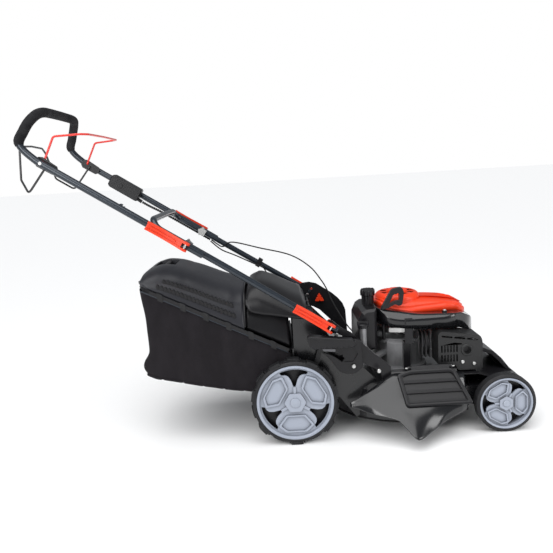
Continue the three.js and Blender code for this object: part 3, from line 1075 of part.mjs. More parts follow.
// ---------------------------------------------------------------- bails
const bracketY = { out: UPPER_Y - HANDLE.upperR - GAP, thick: 8 };
const bracketIn = bracketY.out - bracketY.thick;
const bailY = bracketIn - BAIL - GAP;
const pinEnd = bracketY.out - 1;
const brakePivot = V(-757, 0, 995);
const drivePivot = V(-749, 0, 983);
const bailPin = (pivot) => V(pivot.x, pinEnd, pivot.z);
const brakeHalf = [bailPin(brakePivot), V(brakePivot.x, bailY, brakePivot.z), V(-718, bailY, 1073),
  V(-640, 206, 1077), V(-622, 180, 1077), V(-620, 0, 1078)];
const driveHalf = [bailPin(drivePivot), V(drivePivot.x, bailY, drivePivot.z), V(-817, bailY, 899),
  V(-863, 165, 944), V(-875, 118, 1040), V(-877, 96, 1056), V(-879, 0, 1060)];
part('brake_bail', wire(bent(mirrored(brakeHalf), 13, 30), BAIL, 8), MATERIAL.red);
part('drive_bail', wire(bent(mirrored(driveHalf), 16, 30), BAIL, 8), MATERIAL.wire);

for (const [side, name] of [[1, 'left'], [-1, 'right']]) {
  const edges = side > 0 ? [bracketIn, bracketY.out] : [-bracketY.out, -bracketIn];
  const outline = [[-716, -15], [-716, 14], [-772, 19], [-780, 6], [-776, -17]].map(([x, lift]) =>
    inXZ(onHandle(x, 0, lift)));
  part(`bail_bracket_${name}`, cut(
    alongY(rounded(outline, 8, 1), ...edges),
    ...[brakePivot, drivePivot].map(({ x, z }) => acrossY(x, z, BAIL + RUN, 12))), MATERIAL.plastic);
}

// ---------------------------------------------------------------- control box and cables
const boxCorners = [[-560, -26], [-560, 26], [-662, 26], [-668, 18], [-668, -20], [-660, -26]].map(
  ([x, lift]) => inXZ(onHandle(x, 0, lift)));
const beside = (out) => AXLE.inner + out;   // across, from the axle's inner end
const boxY = { out: bracketY.out, in: beside(6) };
const boxButton = onHandle(-628, 0, -2);
part('control_box', cut(
  join(alongY(rounded(boxCorners, 7, 2), boxY.in, boxY.out, 3),
    rod(V(boxButton.x, boxY.in - 3, boxButton.z), V(boxButton.x, boxY.in + 4, boxButton.z), 9, 18),
    rod(onHandle(-562, beside(26), -16), onHandle(-546, beside(29), -18), 7, 14)),
  rod(onHandle(-572, beside(26), -16), onHandle(-540, beside(31), -18.5), 4.5, 12)), MATERIAL.plastic);

const sleevePoints = new THREE.CatmullRomCurve3([onHandle(-544, beside(29), -18), onHandle(-515, beside(40), -19),
  onHandle(-475, beside(50), -17.5), onHandle(-400, beside(53), -16.9), onHandle(-290, beside(53), -16.9)]).getPoints(26);
const corrugated = (points, high, low) => loft(points.map((p, i) => {
  const next = points[Math.min(i + 1, points.length - 1)];
  const before = points[Math.max(i - 1, 0)];
  const along = next.clone().sub(before).normalize();
  const side = V(0, 1, 0).cross(along).normalize();
  const up = along.clone().cross(side);
  const radius = i % 2 ? high : low;
  return circlePoints(radius, 8).map(([a, b]) =>
    p.clone().addScaledVector(side, a).addScaledVector(up, b));
}));
part('cable_sleeve', corrugated(sleevePoints, 5.2, 4.1), MATERIAL.wire);

const cableRoute = (points, steps) => new THREE.CatmullRomCurve3(points).getPoints(steps);
part('brake_cable', wire(cableRoute([onHandle(-286, beside(52), -15.5), onHandle(-262, beside(42), -17.5),
  onHandle(-240, beside(22), -12), V(-208, beside(12), 655), V(-99, beside(12), 625), V(19, beside(13), 590), V(97, beside(15), 537),
  V(142, beside(17), 476), V(163, beside(16), 436), V(186, beside(-4), 380), V(232, 158, 300), V(270, 124, 262),
  V(296, 112, 258)], 21), 2.6, 8), MATERIAL.wire);
part('drive_cable', wire(cableRoute([onHandle(-286, beside(48), -21.5), onHandle(-240, beside(36), -28),
  onHandle(-190, beside(22), -18), onHandle(-111, beside(22), -8), V(-93, beside(20), 548), V(-72, beside(18), 512),
  V(-17, beside(14), 446), V(18, beside(10), 370), V(34, beside(9), 300), V(38, beside(2), 268), V(44, GEARBOX.y + 21, 246),
  V(50, GEARBOX.y + 8, 219)], 21), 2.6, 8), MATERIAL.wire);

// ================================================================ shared origin
const bounds = new THREE.Box3().setFromObject(mower);
const middle = bounds.getCenter(V());
mower.children.forEach((mesh) => {
  mesh.geometry.translate(-middle.x, -middle.y, -bounds.min.z);
});

export default mower;
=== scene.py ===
import json
from math import copysign, cos, exp, pi, radians, sin, tan

import bmesh
import bpy
from mathutils import Matrix, Vector
from mathutils.geometry import tessellate_polygon


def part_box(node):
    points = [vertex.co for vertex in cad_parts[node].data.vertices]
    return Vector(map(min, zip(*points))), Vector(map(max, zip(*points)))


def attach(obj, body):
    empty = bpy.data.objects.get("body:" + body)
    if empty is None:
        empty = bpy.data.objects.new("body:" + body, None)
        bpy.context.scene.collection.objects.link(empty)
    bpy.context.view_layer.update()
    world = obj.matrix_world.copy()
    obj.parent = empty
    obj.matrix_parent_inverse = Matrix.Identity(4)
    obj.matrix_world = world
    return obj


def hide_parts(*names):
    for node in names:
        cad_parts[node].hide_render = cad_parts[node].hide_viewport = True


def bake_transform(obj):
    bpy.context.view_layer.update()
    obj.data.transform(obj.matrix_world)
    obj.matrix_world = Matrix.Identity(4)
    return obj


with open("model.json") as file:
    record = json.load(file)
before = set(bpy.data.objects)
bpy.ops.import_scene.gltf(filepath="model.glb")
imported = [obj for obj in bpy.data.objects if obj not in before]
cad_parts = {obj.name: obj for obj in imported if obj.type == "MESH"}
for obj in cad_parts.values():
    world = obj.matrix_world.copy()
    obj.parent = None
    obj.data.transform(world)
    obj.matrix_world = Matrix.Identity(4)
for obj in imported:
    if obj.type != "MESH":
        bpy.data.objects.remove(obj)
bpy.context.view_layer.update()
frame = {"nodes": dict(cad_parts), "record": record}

# Lengths are millimetres in the mower's own layout: X forward, Y to its left, Z up, from the
# point on the ground below the rear wheels' centre.
MM = 0.001
SIDES = ((1, "left"), (-1, "right"))


def middle(node):
    low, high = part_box(node)
    return (low + high) / 2


LAYOUT = Vector((middle("rear_rim_left").x,
                 (middle("rear_rim_left").y + middle("rear_rim_right").y) / 2, 0))


def at(x, y, z):
    return LAYOUT + Vector((x, y, z)) * MM


def side_view(x=0.0, z=0.0, face=0.0, side=1):
    """A profile drawn in the side view and pushed across the mower from a face."""
    return lambda u, v, w: at(x + u, side * (face + w), z + v)


def plan_view(x, y):
    """A profile drawn in the plan view and pushed up."""
    return lambda u, v, w: at(x + u, y + v, w)


# ---------------- shader kit
class Field:
    """A value that changes over a surface. Arithmetic on it adds Math nodes."""

    def __init__(self, finish, socket):
        self.finish = finish
        self.socket = socket

    def __add__(self, other):
        return self.finish.math("ADD", self, other)

    def __sub__(self, other):
        return self.finish.math("SUBTRACT", self, other)

    def __rsub__(self, other):
        return self.finish.math("SUBTRACT", other, self)

    def __mul__(self, other):
        return self.finish.math("MULTIPLY", self, other)

    __radd__ = __add__
    __rmul__ = __mul__


class Finish:
    """One surface finish: a Principled shader and the nodes that feed it."""

    def __init__(self, name, **constants):
        self.material = bpy.data.materials.new(name)
        self.material.use_nodes = True
        self.tree = self.material.node_tree
        self.shader = self.tree.nodes["Principled BSDF"]
        for socket, value in constants.items():
            self.shader.inputs[socket.replace("_", " ")].default_value = value

    def node(self, kind, settings=None, sockets=None):
        node = self.tree.nodes.new(kind)
        for key, value in (settings or {}).items():
            setattr(node, key, value)
        for key, value in (sockets or {}).items():
            self.feed(node.inputs[key], value)
        return node

    def feed(self, socket, value):
        if isinstance(value, Field):
            value = value.socket
        if isinstance(value, bpy.types.NodeSocket):
            self.tree.links.new(value, socket)
        else:
            socket.default_value = value

    def math(self, operation, first, second=0.0):
        node = self.node("ShaderNodeMath", {"operation": operation}, {0: first, 1: second})
        return Field(self, node.outputs[0])

    def sine(self, field):
        return self.math("SINE", field)

    @property
    def place(self):
        return self.node("ShaderNodeTexCoord").outputs["Object"]

    def axis(self, name):
        return Field(self, self.node("ShaderNodeSeparateXYZ", None, {0: self.place}).outputs[name])

    def stretched(self, factors):
        node = self.node("ShaderNodeVectorMath", {"operation": "MULTIPLY"},
                         {0: self.place, 1: factors})
        return node.outputs["Vector"]

    def noise(self, scale, detail=3.0, roughness=0.5, stretch=(1, 1, 1)):
        node = self.node("ShaderNodeTexNoise", None, {
            "Vector": self.stretched(stretch), "Scale": scale, "Detail": detail,
            "Roughness": roughness})
        return Field(self, node.outputs["Fac"])

    def cells(self, scale):
        node = self.node("ShaderNodeTexVoronoi", {"feature": "F1"},
                         {"Vector": self.stretched((1, 1, 1)), "Scale": scale})
        return Field(self, node.outputs["Distance"])

    def between(self, field, low, high, start=0.0, end=1.0):
        node = self.node("ShaderNodeMapRange", {"clamp": True}, {
            "Value": field, "From Min": low, "From Max": high, "To Min": start, "To Max": end})
        return Field(self, node.outputs["Result"])

    def blend(self, factor, first, second):
        node = self.node("ShaderNodeMix", {"data_type": "RGBA"})
        factor_socket, first_socket, second_socket = node.inputs[0], node.inputs[6], node.inputs[7]
        self.feed(factor_socket, factor)
        for socket, value in ((first_socket, first), (second_socket, second)):
            self.feed(socket, (*value, 1.0) if isinstance(value, tuple) else value)
        return node.outputs[2]

    def soft_normal(self, width):
        return self.node("ShaderNodeBevel", {"samples": 4}, {"Radius": width * MM}).outputs[0]

    def edges(self, width):
        """0 on flat ground and up to 1 on outside and inside corners."""
        hard = self.node("ShaderNodeNewGeometry").outputs["Normal"]
        dot = self.node("ShaderNodeVectorMath", {"operation": "DOT_PRODUCT"},
                        {0: self.soft_normal(width), 1: hard})
        return self.between(Field(self, dot.outputs["Value"]), 0.99, 0.8)

    def hollows(self, reach):
        """0 in the open and up to 1 in deep corners."""
        open_sky = self.node("ShaderNodeAmbientOcclusion", {"samples": 6},
                             {"Distance": reach * MM}).outputs["AO"]
        return self.between(Field(self, open_sky), 0.95, 0.35, 0, 0.85)

    def bump(self, height, strength, distance, soften=0.0):
        sockets = {"Strength": strength, "Distance": distance * MM, "Height": height}
        if soften:
            sockets["Normal"] = self.soft_normal(soften)
        return self.node("ShaderNodeBump", None, sockets).outputs[0]

    def surface(self, colour, roughness, normal=None):
        self.feed(self.shader.inputs["Base Color"], colour)
        self.feed(self.shader.inputs["Roughness"], roughness)
        if normal is not None:
            self.feed(self.shader.inputs["Normal"], normal)
        return self.material


def tint(colour, factor, lift=0.0):
    return tuple(channel * factor + lift for channel in colour)


# ---------------- finishes
def painted(name, colour, roughness=0.3, metallic=0.0, coat=0.5, dust=0.12):
    """Paint or dip coating with a fine peel, smeared dust and paler edges."""
    finish = Finish(name, Metallic=metallic, Coat_Weight=coat, Coat_Roughness=0.12)
    smear = finish.noise(scale=9, detail=4)
    peel = finish.noise(scale=420, detail=2)
    base = finish.blend(finish.between(smear, 0.45, 0.75, 0, dust), colour,
                        tint(colour, 0.7, 0.02))
    # Paler edges: partly wear and partly a painted highlight along the rounded edges.
    base = finish.blend(finish.edges(0.9) * 0.25, base, tint(colour, 0.8, 0.03))
    return finish.surface(base, roughness + smear * 0.14,
                          finish.bump(peel, strength=0.05, distance=0.25, soften=0.6))


def moulded(name, colour, roughness=0.42, grain=0.22, lift=0.035, coat=0.0, recess_shade=0):
    """Textured injection moulding: fine spark-eroded grain, polished a little on its edges; the
    paler edge colour is partly wear and partly a painted highlight, and it can paint shade into its
    recesses.
    """
    finish = Finish(name, Coat_Weight=coat, Coat_Roughness=0.2, Specular_IOR_Level=0.32)
    pores = finish.noise(scale=1500, detail=2, roughness=0.6)
    flow = finish.noise(scale=7, detail=3)
    edge = finish.edges(1.0)
    base = finish.blend(finish.between(flow, 0.35, 0.7, 0, 0.5), colour,
                        tint(colour, 0.9, lift * 0.25))
    # Paler edges: partly wear and partly a painted highlight along the rounded edges.
    base = finish.blend(edge * 0.35, base, tint(colour, 0.8, lift))
    # Painted shade: the colour darkens in deep corners and recesses, driven by ambient occlusion.
    if recess_shade:
        base = finish.blend(finish.hollows(recess_shade), base, tint(colour, 0.22))
    return finish.surface(base, roughness + flow * 0.12 + (pores - 0.5) * 0.12 - edge * 0.08,
                          finish.bump(pores, strength=grain, distance=0.3, soften=0.8))


def rubber(name, colour, roughness=0.68):
    """Matt rubber, scuffed, with paler edges."""
    finish = Finish(name, Specular_IOR_Level=0.35)
    pores = finish.noise(scale=900, detail=3)
    scuff = finish.noise(scale=35, detail=5, roughness=0.65)
    edge = finish.edges(1.2)
    base = finish.blend(finish.between(scuff, 0.5, 0.72, 0, 0.5), colour, tint(colour, 1, 0.02))
    # Paler edges: partly wear and partly a painted highlight along the rounded edges.
    base = finish.blend(edge * 0.4, base, tint(colour, 1, 0.045))
    return finish.surface(base, roughness + scuff * 0.16 - edge * 0.1,
                          finish.bump(pores, strength=0.2, distance=0.3, soften=0.8))


def cast_alloy(name, colour):
    """Bare castings with a coarse sand grain and stains."""
    finish = Finish(name, Metallic=0.85)
    grain = finish.noise(scale=520, detail=4, roughness=0.7)
    stain = finish.noise(scale=16, detail=4)
    base = finish.blend(finish.between(stain, 0.4, 0.75), colour, tint(colour, 0.6))
    return finish.surface(base, 0.42 + stain * 0.2,
                          finish.bump(grain, strength=0.5, distance=0.5, soften=0.8))


def steel(name, colour, roughness=0.26):
    """Plated steel, drawn along one direction and a little blotched."""
    finish = Finish(name, Metallic=1.0)
    brush = finish.noise(scale=240, detail=3, roughness=0.6, stretch=(1, 8, 8))
    blotch = finish.noise(scale=14, detail=3)
    base = finish.blend(finish.between(blotch, 0.4, 0.8, 0, 0.6), colour, tint(colour, 0.7))
    return finish.surface(base, roughness + brush * 0.16,
                          finish.bump(brush, strength=0.12, distance=0.2, soften=0.5))


def closed_foam(name, colour):
    """Foam with a fine open cell at its skin."""
    finish = Finish(name, Specular_IOR_Level=0.2)
    blotch = finish.noise(scale=30, detail=4)
    base = finish.blend(finish.between(blotch, 0.35, 0.75), colour, tint(colour, 1, 0.02))
    return finish.surface(base, 0.78 + blotch * 0.15,
                          finish.bump(finish.cells(620), strength=0.45, distance=0.6))


def woven(name, colour):
    """Coated polyester: a plain weave with a slub, creased and a little dusty in its hollows."""
    finish = Finish(name, Sheen_Weight=0.04, Sheen_Roughness=0.4, Specular_IOR_Level=0.17)
    thread = 2 * pi / (1.5 * MM)
    along = finish.sine((finish.axis("X") + finish.axis("Y") * 0.9) * thread)
    across = finish.sine((finish.axis("Z") - finish.axis("Y") * 0.35) * thread)
    slub = finish.noise(scale=160, detail=3, roughness=0.6, stretch=(1, 1, 5))
    crease = finish.noise(scale=22, detail=4, roughness=0.55, stretch=(1, 1, 0.45))
    weave = along * across * 0.5 + slub * 0.6
    base = finish.blend(finish.between(crease, 0.35, 0.75), colour, tint(colour, 1.5, 0.003))
    base = finish.blend(finish.between(weave, 0.1, 0.9, 0, 0.35), base, tint(colour, 0.5))
    return finish.surface(base, 0.7 + crease * 0.18,
                          finish.bump(weave * 0.25 + crease * 3.0, strength=0.4, distance=0.8))


BLACK = (0.0075, 0.0072, 0.0085)
ORANGE = (0.78, 0.042, 0.006)
finishes = {
    "deck_paint": painted("deck_enamel", (0.004, 0.004, 0.005), 0.2, coat=0.2, dust=0.08),
    "black_plastic": moulded("black_moulding", BLACK, 0.27, 0.12, lift=0.022),
    "orange_plastic": moulded("orange_moulding", ORANGE, 0.36, 0.06, lift=0.006, coat=0.15),
    "grey_plastic": moulded("grey_moulding", (0.25, 0.275, 0.33), 0.3, 0.08, lift=0.16,
                            coat=0.3),
    "tyre_rubber": rubber("tyre_rubber", (0.008, 0.008, 0.0095), 0.5),
    "black_rubber": rubber("black_rubber", (0.008, 0.008, 0.009), 0.5),
    "cast_alloy": cast_alloy("cast_alloy", (0.34, 0.34, 0.35)),
    "bright_steel": steel("zinc_plated_steel", (0.58, 0.58, 0.57)),
    "heat_paint": painted("heat_proof_paint", (0.007, 0.007, 0.0075), 0.4, coat=0.0, dust=0.05),
    "tube_paint": painted("tube_powder_coat", (0.020, 0.027, 0.037), 0.24, metallic=0.5,
                          coat=0.4, dust=0.05),
    "red_coating": painted("red_dip_coating", (0.80, 0.035, 0.022), 0.34, coat=0.4),
    "black_coating": painted("black_dip_coating", (0.006, 0.006, 0.007), 0.34, dust=0.05),
    "foam": closed_foam("grip_foam", (0.008, 0.008, 0.0095)),
    "cable_sheath": rubber("cable_sheath", (0.006, 0.006, 0.007), 0.45),
    "gloss_moulding": moulded("gloss_black_moulding", (0.0045, 0.0047, 0.0058), 0.09, 0.03,
                              lift=0.02, coat=0.55),
    # Painted light: a lighter copy of the black moulding for the bag lid's lit top; the rest of
    # that moulding and the vent ridges stay darker.
    "lid_painted_light": moulded("bag_lid_painted_light_moulding", (0.0185, 0.0190, 0.0235), 0.3, 0.12, lift=0.03),
    "rim_moulding": moulded("rim_moulding", (0.30, 0.33, 0.395), 0.26, 0.06, lift=0.2,
                            coat=0.35, recess_shade=14),
    "insert_moulding": moulded("grip_insert_moulding", (0.085, 0.085, 0.092), 0.35, 0.08,
                               lift=0.05),
    "bag_fabric": woven("bag_polyester", (0.0085, 0.0070, 0.0088)),
}

for subpart in frame["record"]["subparts"]:
    mesh = frame["nodes"][subpart["node"]].data
    mesh.materials.clear()
    mesh.materials.append(finishes[subpart["material_slot"]])


# ---------------- shapes
class Shape:
    """Points and faces of one piece, gathered from several closed forms."""

    def __init__(self):
        self.points = []
        self.faces = []

    def add(self, points, faces):
        start = len(self.points)
        self.points += [Vector(point) for point in points]
        self.faces += [[start + corner for corner in face] for face in faces]
        return self

    def loft(self, rings, caps=True, closed=True):
        count = len(rings[0])
        faces = []
        for row in range(len(rings) - 1):
            for column in range(count if closed else count - 1):
                here, ahead = row * count + column, row * count + (column + 1) % count
                faces.append((here, ahead, ahead + count, here + count))
        if caps:
            last = (len(rings) - 1) * count
            faces.append(tuple(reversed(range(count))))
            faces.append(tuple(range(last, last + count)))
        return self.add([point for ring in rings for point in ring], faces)

    def prism(self, outline, holes, place, low, high):
        """An outline with holes pushed from low to high; place maps (u, v, w) to the frame."""
        loops = [[Vector((u, v, 0)) for u, v in loop] for loop in (outline, *holes)]
        flat = [point for loop in loops for point in loop]
        triangles = tessellate_polygon(loops)
        count = len(flat)
        points = [place(p.x, p.y, w) for w in (low, high) for p in flat]
        faces = [tuple(reversed(t)) for t in triangles]
        faces += [tuple(count + corner for corner in t) for t in triangles]
        start = 0
        for loop in loops:
            size = len(loop)
            for i in range(size):
                here, ahead = start + i, start + (i + 1) % size
                faces.append((here, ahead, ahead + count, here + count))
            start += size
        return self.add(points, faces)

    def block(self, corner, opposite, place, low, high):
        """A prism on a rectangle between two opposite corners."""
        (u0, v0), (u1, v1) = corner, opposite
        return self.prism([(u0, v0), (u1, v0), (u1, v1), (u0, v1)], [], place, low, high)

    def revolve(self, profile, sides, place, closed=False):
        """A profile of (radius, height) turned about the axis of place(u, v, w)."""
        rings = [[place(u, v, height) for u, v in circle(radius, sides)]
                 for radius, height in profile]
        if closed:
            rings.append(rings[0])
        return self.loft(rings, caps=not closed)

    def tube(self, path, radius, sides=18):
        """A round bar along a path; radius may be a list, one for each point."""
        radii = radius if isinstance(radius, (list, tuple)) else [radius] * len(path)
        rings = []
        normal = None
        for i, point in enumerate(path):
            ahead = path[min(i + 1, len(path) - 1)]
            behind = path[max(i - 1, 0)]
            along = (ahead - behind).normalized()
            if normal is None:
                normal = along.orthogonal().normalized()
            normal = (normal - along * normal.dot(along)).normalized()
            side = along.cross(normal)
            rings.append([point + (normal * cos(2 * pi * k / sides)
                                   + side * sin(2 * pi * k / sides)) * radii[i] * MM
                          for k in range(sides)])
        return self.loft(rings)


def new_object(name, shape, material):
    mesh = bpy.data.meshes.new(name)
    mesh.from_pydata([tuple(point) for point in shape.points], [], shape.faces)
    mesh.validate()
    mesh.materials.append(material)
    mesh.shade_smooth()
    made = bpy.data.objects.new(name, mesh)
    bpy.context.scene.collection.objects.link(made)
    return made


def build(name, shape, finish, body, replaces=(), bevel=0.0, smooth=35, look=None):
    """Makes the piece: its finish is the slot's own unless a look names another one."""
    piece = new_object(name, shape, finishes[look or finish])
    edit_mesh(piece.data, join_doubles)
    piece.data.set_sharp_from_angle(angle=radians(smooth))
    if bevel:
        modifier = piece.modifiers.new("rounded_edges", "BEVEL")
        modifier.width = bevel * MM
        modifier.segments = 2
        modifier.limit_method = "ANGLE"
        modifier.angle_limit = radians(smooth)
        modifier.harden_normals = True
    if body:
        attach(piece, body)
    if replaces:
        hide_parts(*replaces)
    return piece


def edit_mesh(mesh, change):
    work = bmesh.new()
    work.from_mesh(mesh)
    change(work)
    work.to_mesh(mesh)
    work.free()


def join_doubles(work):
    bmesh.ops.remove_doubles(work, verts=work.verts, dist=1e-6)
    bmesh.ops.recalc_face_normals(work, faces=work.faces)


def shell(piece, thickness):
    """Gives an open cover its wall, inward."""
    wall = piece.modifiers.new("wall", "SOLIDIFY")
    wall.thickness = thickness * MM
    wall.offset = -1
    return wall


# ---------------- outlines and paths
def steps(start, end, count):
    return [start + (end - start) * k / count for k in range(count + 1)]


def turned(points, degrees):
    c, s = cos(radians(degrees)), sin(radians(degrees))
    return [(u * c - v * s, u * s + v * c) for u, v in points]


def polar(radius, angle, u=0.0, v=0.0):
    return u + radius * cos(angle), v + radius * sin(angle)


def circle(radius, sides, u=0.0, v=0.0):
    return [polar(radius, 2 * pi * i / sides, u, v) for i in range(sides)]


def lobed(radius, count, start=0.0, u=0.0, v=0.0):
    """A closed outline whose radius is a function of its angle."""
    turns = [2 * pi * k / count for k in range(count)]
    return [polar(radius(turn), turn + start, u, v) for turn in turns]


def both_halves(half):
    """Half an outline and its mirror image across v = 0."""
    return half + [(u, -v) for u, v in half[::-1]]


def corner_curve(start, corner, end, count):
    return [start * (1 - t) ** 2 + corner * 2 * t * (1 - t) + end * t * t
            for t in [k / count for k in range(count + 1)]]


def rounded(points, radius, count=5):
    """A polygon with its corners rounded; a corner may give its own radius third."""
    outline = []
    for i, point in enumerate(points):
        here = Vector(point[:2])
        before = Vector(points[i - 1][:2]) - here
        after = Vector(points[(i + 1) % len(points)][:2]) - here
        own = point[2] if len(point) > 2 else radius
        reach = min(own, before.length / 2.3, after.length / 2.3)
        outline += [(p.x, p.y) for p in corner_curve(
            here + before.normalized() * reach, here, here + after.normalized() * reach, count)]
    return outline


def bent(points, radius, count=6):
    """Straight stretches with rounded corners."""
    path = [points[0]]
    for before, here, after in zip(points, points[1:], points[2:]):
        back, on = before - here, after - here
        turn = pi - back.angle(on)
        reach = min(radius * MM * tan(turn / 2), back.length / 2.1, on.length / 2.1)
        path += corner_curve(here + back.normalized() * reach, here,
                             here + on.normalized() * reach, count)
    path.append(points[-1])
    return path


def spline(p0, p1, p2, p3, t):
    """Catmull-Rom, between p1 and p2."""
    return 0.5 * (2 * p1 + (p2 - p0) * t + (2 * p0 - 5 * p1 + 4 * p2 - p3) * t ** 2
                  + (3 * p1 - p0 - 3 * p2 + p3) * t ** 3)


def smooth_path(points, count):
    """An evenly stepped smooth path through the given points."""
    dense = []
    for i in range(len(points) - 1):
        dense += [spline(points[max(i - 1, 0)], points[i], points[i + 1],
                         points[min(i + 2, len(points) - 1)], k / 12) for k in range(12)]
    dense.append(points[-1])
    return resampled(dense, count)


def resampled(dense, count):
    reach = [0.0]
    for a, b in zip(dense, dense[1:]):
        reach.append(reach[-1] + (b - a).length)
    path = []
    spot = 0
    for i in range(count):
        target = reach[-1] * i / (count - 1)
        while spot < len(dense) - 2 and reach[spot + 1] < target:
            spot += 1
        span = max(reach[spot + 1] - reach[spot], 1e-9)
        path.append(dense[spot].lerp(dense[spot + 1], min(1.0, (target - reach[spot]) / span)))
    return path


def even_loop(outline, count):
    """A closed outline in evenly spaced points."""
    return resampled([Vector((u, v, 0)) for u, v in outline + outline[:1]], count + 1)[:-1]


def smooth_flat(points):
    path = smooth_path([Vector((u, 0, v)) for u, v in points], 5 * len(points))
    return [(p.x, p.z) for p in path]


def straight(points, x):
    """A value read off a broken line of (x, value)."""
    points = sorted(points)
    if x <= points[0][0]:
        return points[0][1]
    for (x0, y0), (x1, y1) in zip(points, points[1:]):
        if x <= x1:
            return y0 + (y1 - y0) * (x - x0) / (x1 - x0)
    return points[-1][1]


def eased(points, x):
    """As straight, with rounded corners."""
    points = sorted(points)
    if x <= points[0][0]:
        return points[0][1]
    for i in range(len(points) - 1):
        (x0, p1), (x1, p2) = points[i], points[i + 1]
        if x <= x1:
            p0, p3 = points[max(i - 1, 0)][1], points[min(i + 2, len(points) - 1)][1]
            return spline(p0, p1, p2, p3, (x - x0) / (x1 - x0))
    return points[-1][1]


def pairs(rows, k):
    """One column of a table of (x, ...) rows as (x, value) pairs."""
    return [(row[0], row[k]) for row in rows]


def both_sides(half):
    """Half a path on the left, up to the centre line, and its mirror image."""
    mirrored = [Vector((p.x, 2 * LAYOUT.y - p.y, p.z)) for p in half[:-1]]
    return half + mirrored[::-1]


# ---------------- wheels
REAR_RADIUS, REAR_RIM, REAR_WIDTH = 150, 131, 46
FRONT_RADIUS, FRONT_RIM, FRONT_WIDTH = 102, 90, 42
WHEELBASE = 716
OPENINGS = (90, 210, 330)
PANELS = (30, 150, 270)
# Fractions of the rim's radius: half of an opening's edge, and a panel's corners.
OPENING_EDGE = [(0.735, 0.325), (0.735, 0.22), (0.70, 0.15), (0.60, 0.085), (0.42, 0.03)]
PANEL_CORNERS = both_halves([(0.80, 0.27), (0.62, 0.47), (0.34, 0.25)])
PANEL_MIDDLE, PANEL_SHRINK = 0.575, 0.85


def wheel_place(x, z, side, face, degrees=0.0):
    """Maps a wheel's own (u, v, depth from its outer face) into the frame."""
    c, s = cos(radians(degrees)), sin(radians(degrees))
    return lambda u, v, w: at(x + side * (u * c - v * s), side * (face + w), z + u * s + v * c)


def make_rim(name, body, rim, width, place):
    """A rim with its lip, three openings, three framed panels and a hexagonal hub, and a black disc
    behind the openings that paints in the shade inside the wheel.
    """
    shape = Shape()
    lip = rim * 0.075
    shape.revolve([(rim - lip, -2.2), (rim - lip + 1.6, -0.6), (rim - 3, 0), (rim - 0.6, -0.8),
                   (rim, -3), (rim, -width + 1), (rim - 5, -width + 1), (rim - 6, -16),
                   (rim - lip - 1.5, -14), (rim - lip - 1.5, -6)], 96, place, closed=True)
    holes = []
    for degrees in OPENINGS:
        opening = [polar(0.885 * rim, radians(t)) for t in range(-25, 26, 5)]
        opening += both_halves([(u * rim, v * rim) for u, v in OPENING_EDGE])
        holes.append(turned(rounded(opening, 0.02 * rim, 3), degrees))
    shape.prism(circle(rim - lip, 96), holes, place, -15, -9)
    for degrees in PANELS:
        outer = [(u * rim, v * rim) for u, v in PANEL_CORNERS]
        inner = [((u - PANEL_MIDDLE) * PANEL_SHRINK * rim + PANEL_MIDDLE * rim,
                  v * PANEL_SHRINK * rim) for u, v in PANEL_CORNERS]
        shape.prism(turned(rounded(outer, 0.05 * rim, 4), degrees),
                    [turned(rounded(inner, 0.04 * rim, 4), degrees)], place, -10, -3.2)
    shape.prism(rounded(circle(0.285 * rim, 6), 0.03 * rim, 4), [], place, -14, -2.6)
    shape.revolve([(0.13 * rim, -4), (0.13 * rim, -1.2), (0.11 * rim, 0.2), (1, 0.4)], 40, place)
    shape.revolve([(16, -13), (16, -width + 2), (1, -width + 2)], 32, place)
    for degrees in OPENINGS:
        rib = both_halves([(0.24 * rim, -0.035 * rim), (0.42 * rim, -0.035 * rim)])
        shape.prism(turned(rib, degrees), [], place, -12, -5)
    # Painted shade: a black disc inside the wheel, so that the openings show dark.
    painted_shade_disc = Shape().revolve([(16.5, -width + 7), (rim - 7, -width + 7), (rim - 7, -width + 5),
                               (16.5, -width + 5)], 64, place, closed=True)
    build(f"wheel_painted_shade_disc_{name}", painted_shade_disc, "black_plastic", body)
    build(f"wheel_{name}", shape, "grey_plastic", body, [name], bevel=0.8, smooth=32,
          look="rim_moulding")


def arc_block(start, end, low, high, count=5):
    """An outline between two angles in degrees and two radii."""
    turn = [radians(degrees) for degrees in steps(start, end, count)]
    return [polar(high, a) for a in turn] + [polar(low, a) for a in turn[::-1]]


def make_treaded_tyre(name, body, place):
    """A carcass with lugs that reach in from its two edges in turn, and keys beside them."""
    inside, carcass, width, lugs = REAR_RIM + 0.3, REAR_RADIUS - 7, REAR_WIDTH, 14
    shape = Shape().revolve([
        (inside, -2), (inside + 2.5, -0.6), (inside + 5, -0.8), (inside + 6, -2),
        (inside + 8, -2.4), (carcass - 2.5, -3.2), (carcass, -6), (carcass, -width + 6),
        (carcass - 2.5, -width + 3), (inside + 5, -width + 1), (inside, -width + 1)],
        112, place, closed=True)
    pitch = 360 / lugs
    for i in range(lugs):
        outer = i % 2 == 0
        low, high = (-width * 0.62, -1.5) if outer else (-width + 1.5, -width * 0.38)
        shape.prism(arc_block(-90 + (i - 0.3) * pitch, -90 + (i + 0.3) * pitch, carcass - 3,
                              REAR_RADIUS), [], place, low, high)
        low, high = (-width * 0.5, -4) if outer else (-width + 4, -width * 0.5)
        for half in (-1, 1):
            shape.prism(arc_block(-90 + (i + half * 0.42) * pitch, -90 + (i + half * 0.34) * pitch,
                                  carcass - 3, carcass + 3), [], place, low, high)
    build(f"wheel_{name}", shape, "tyre_rubber", body, [name], bevel=0.9, smooth=30)


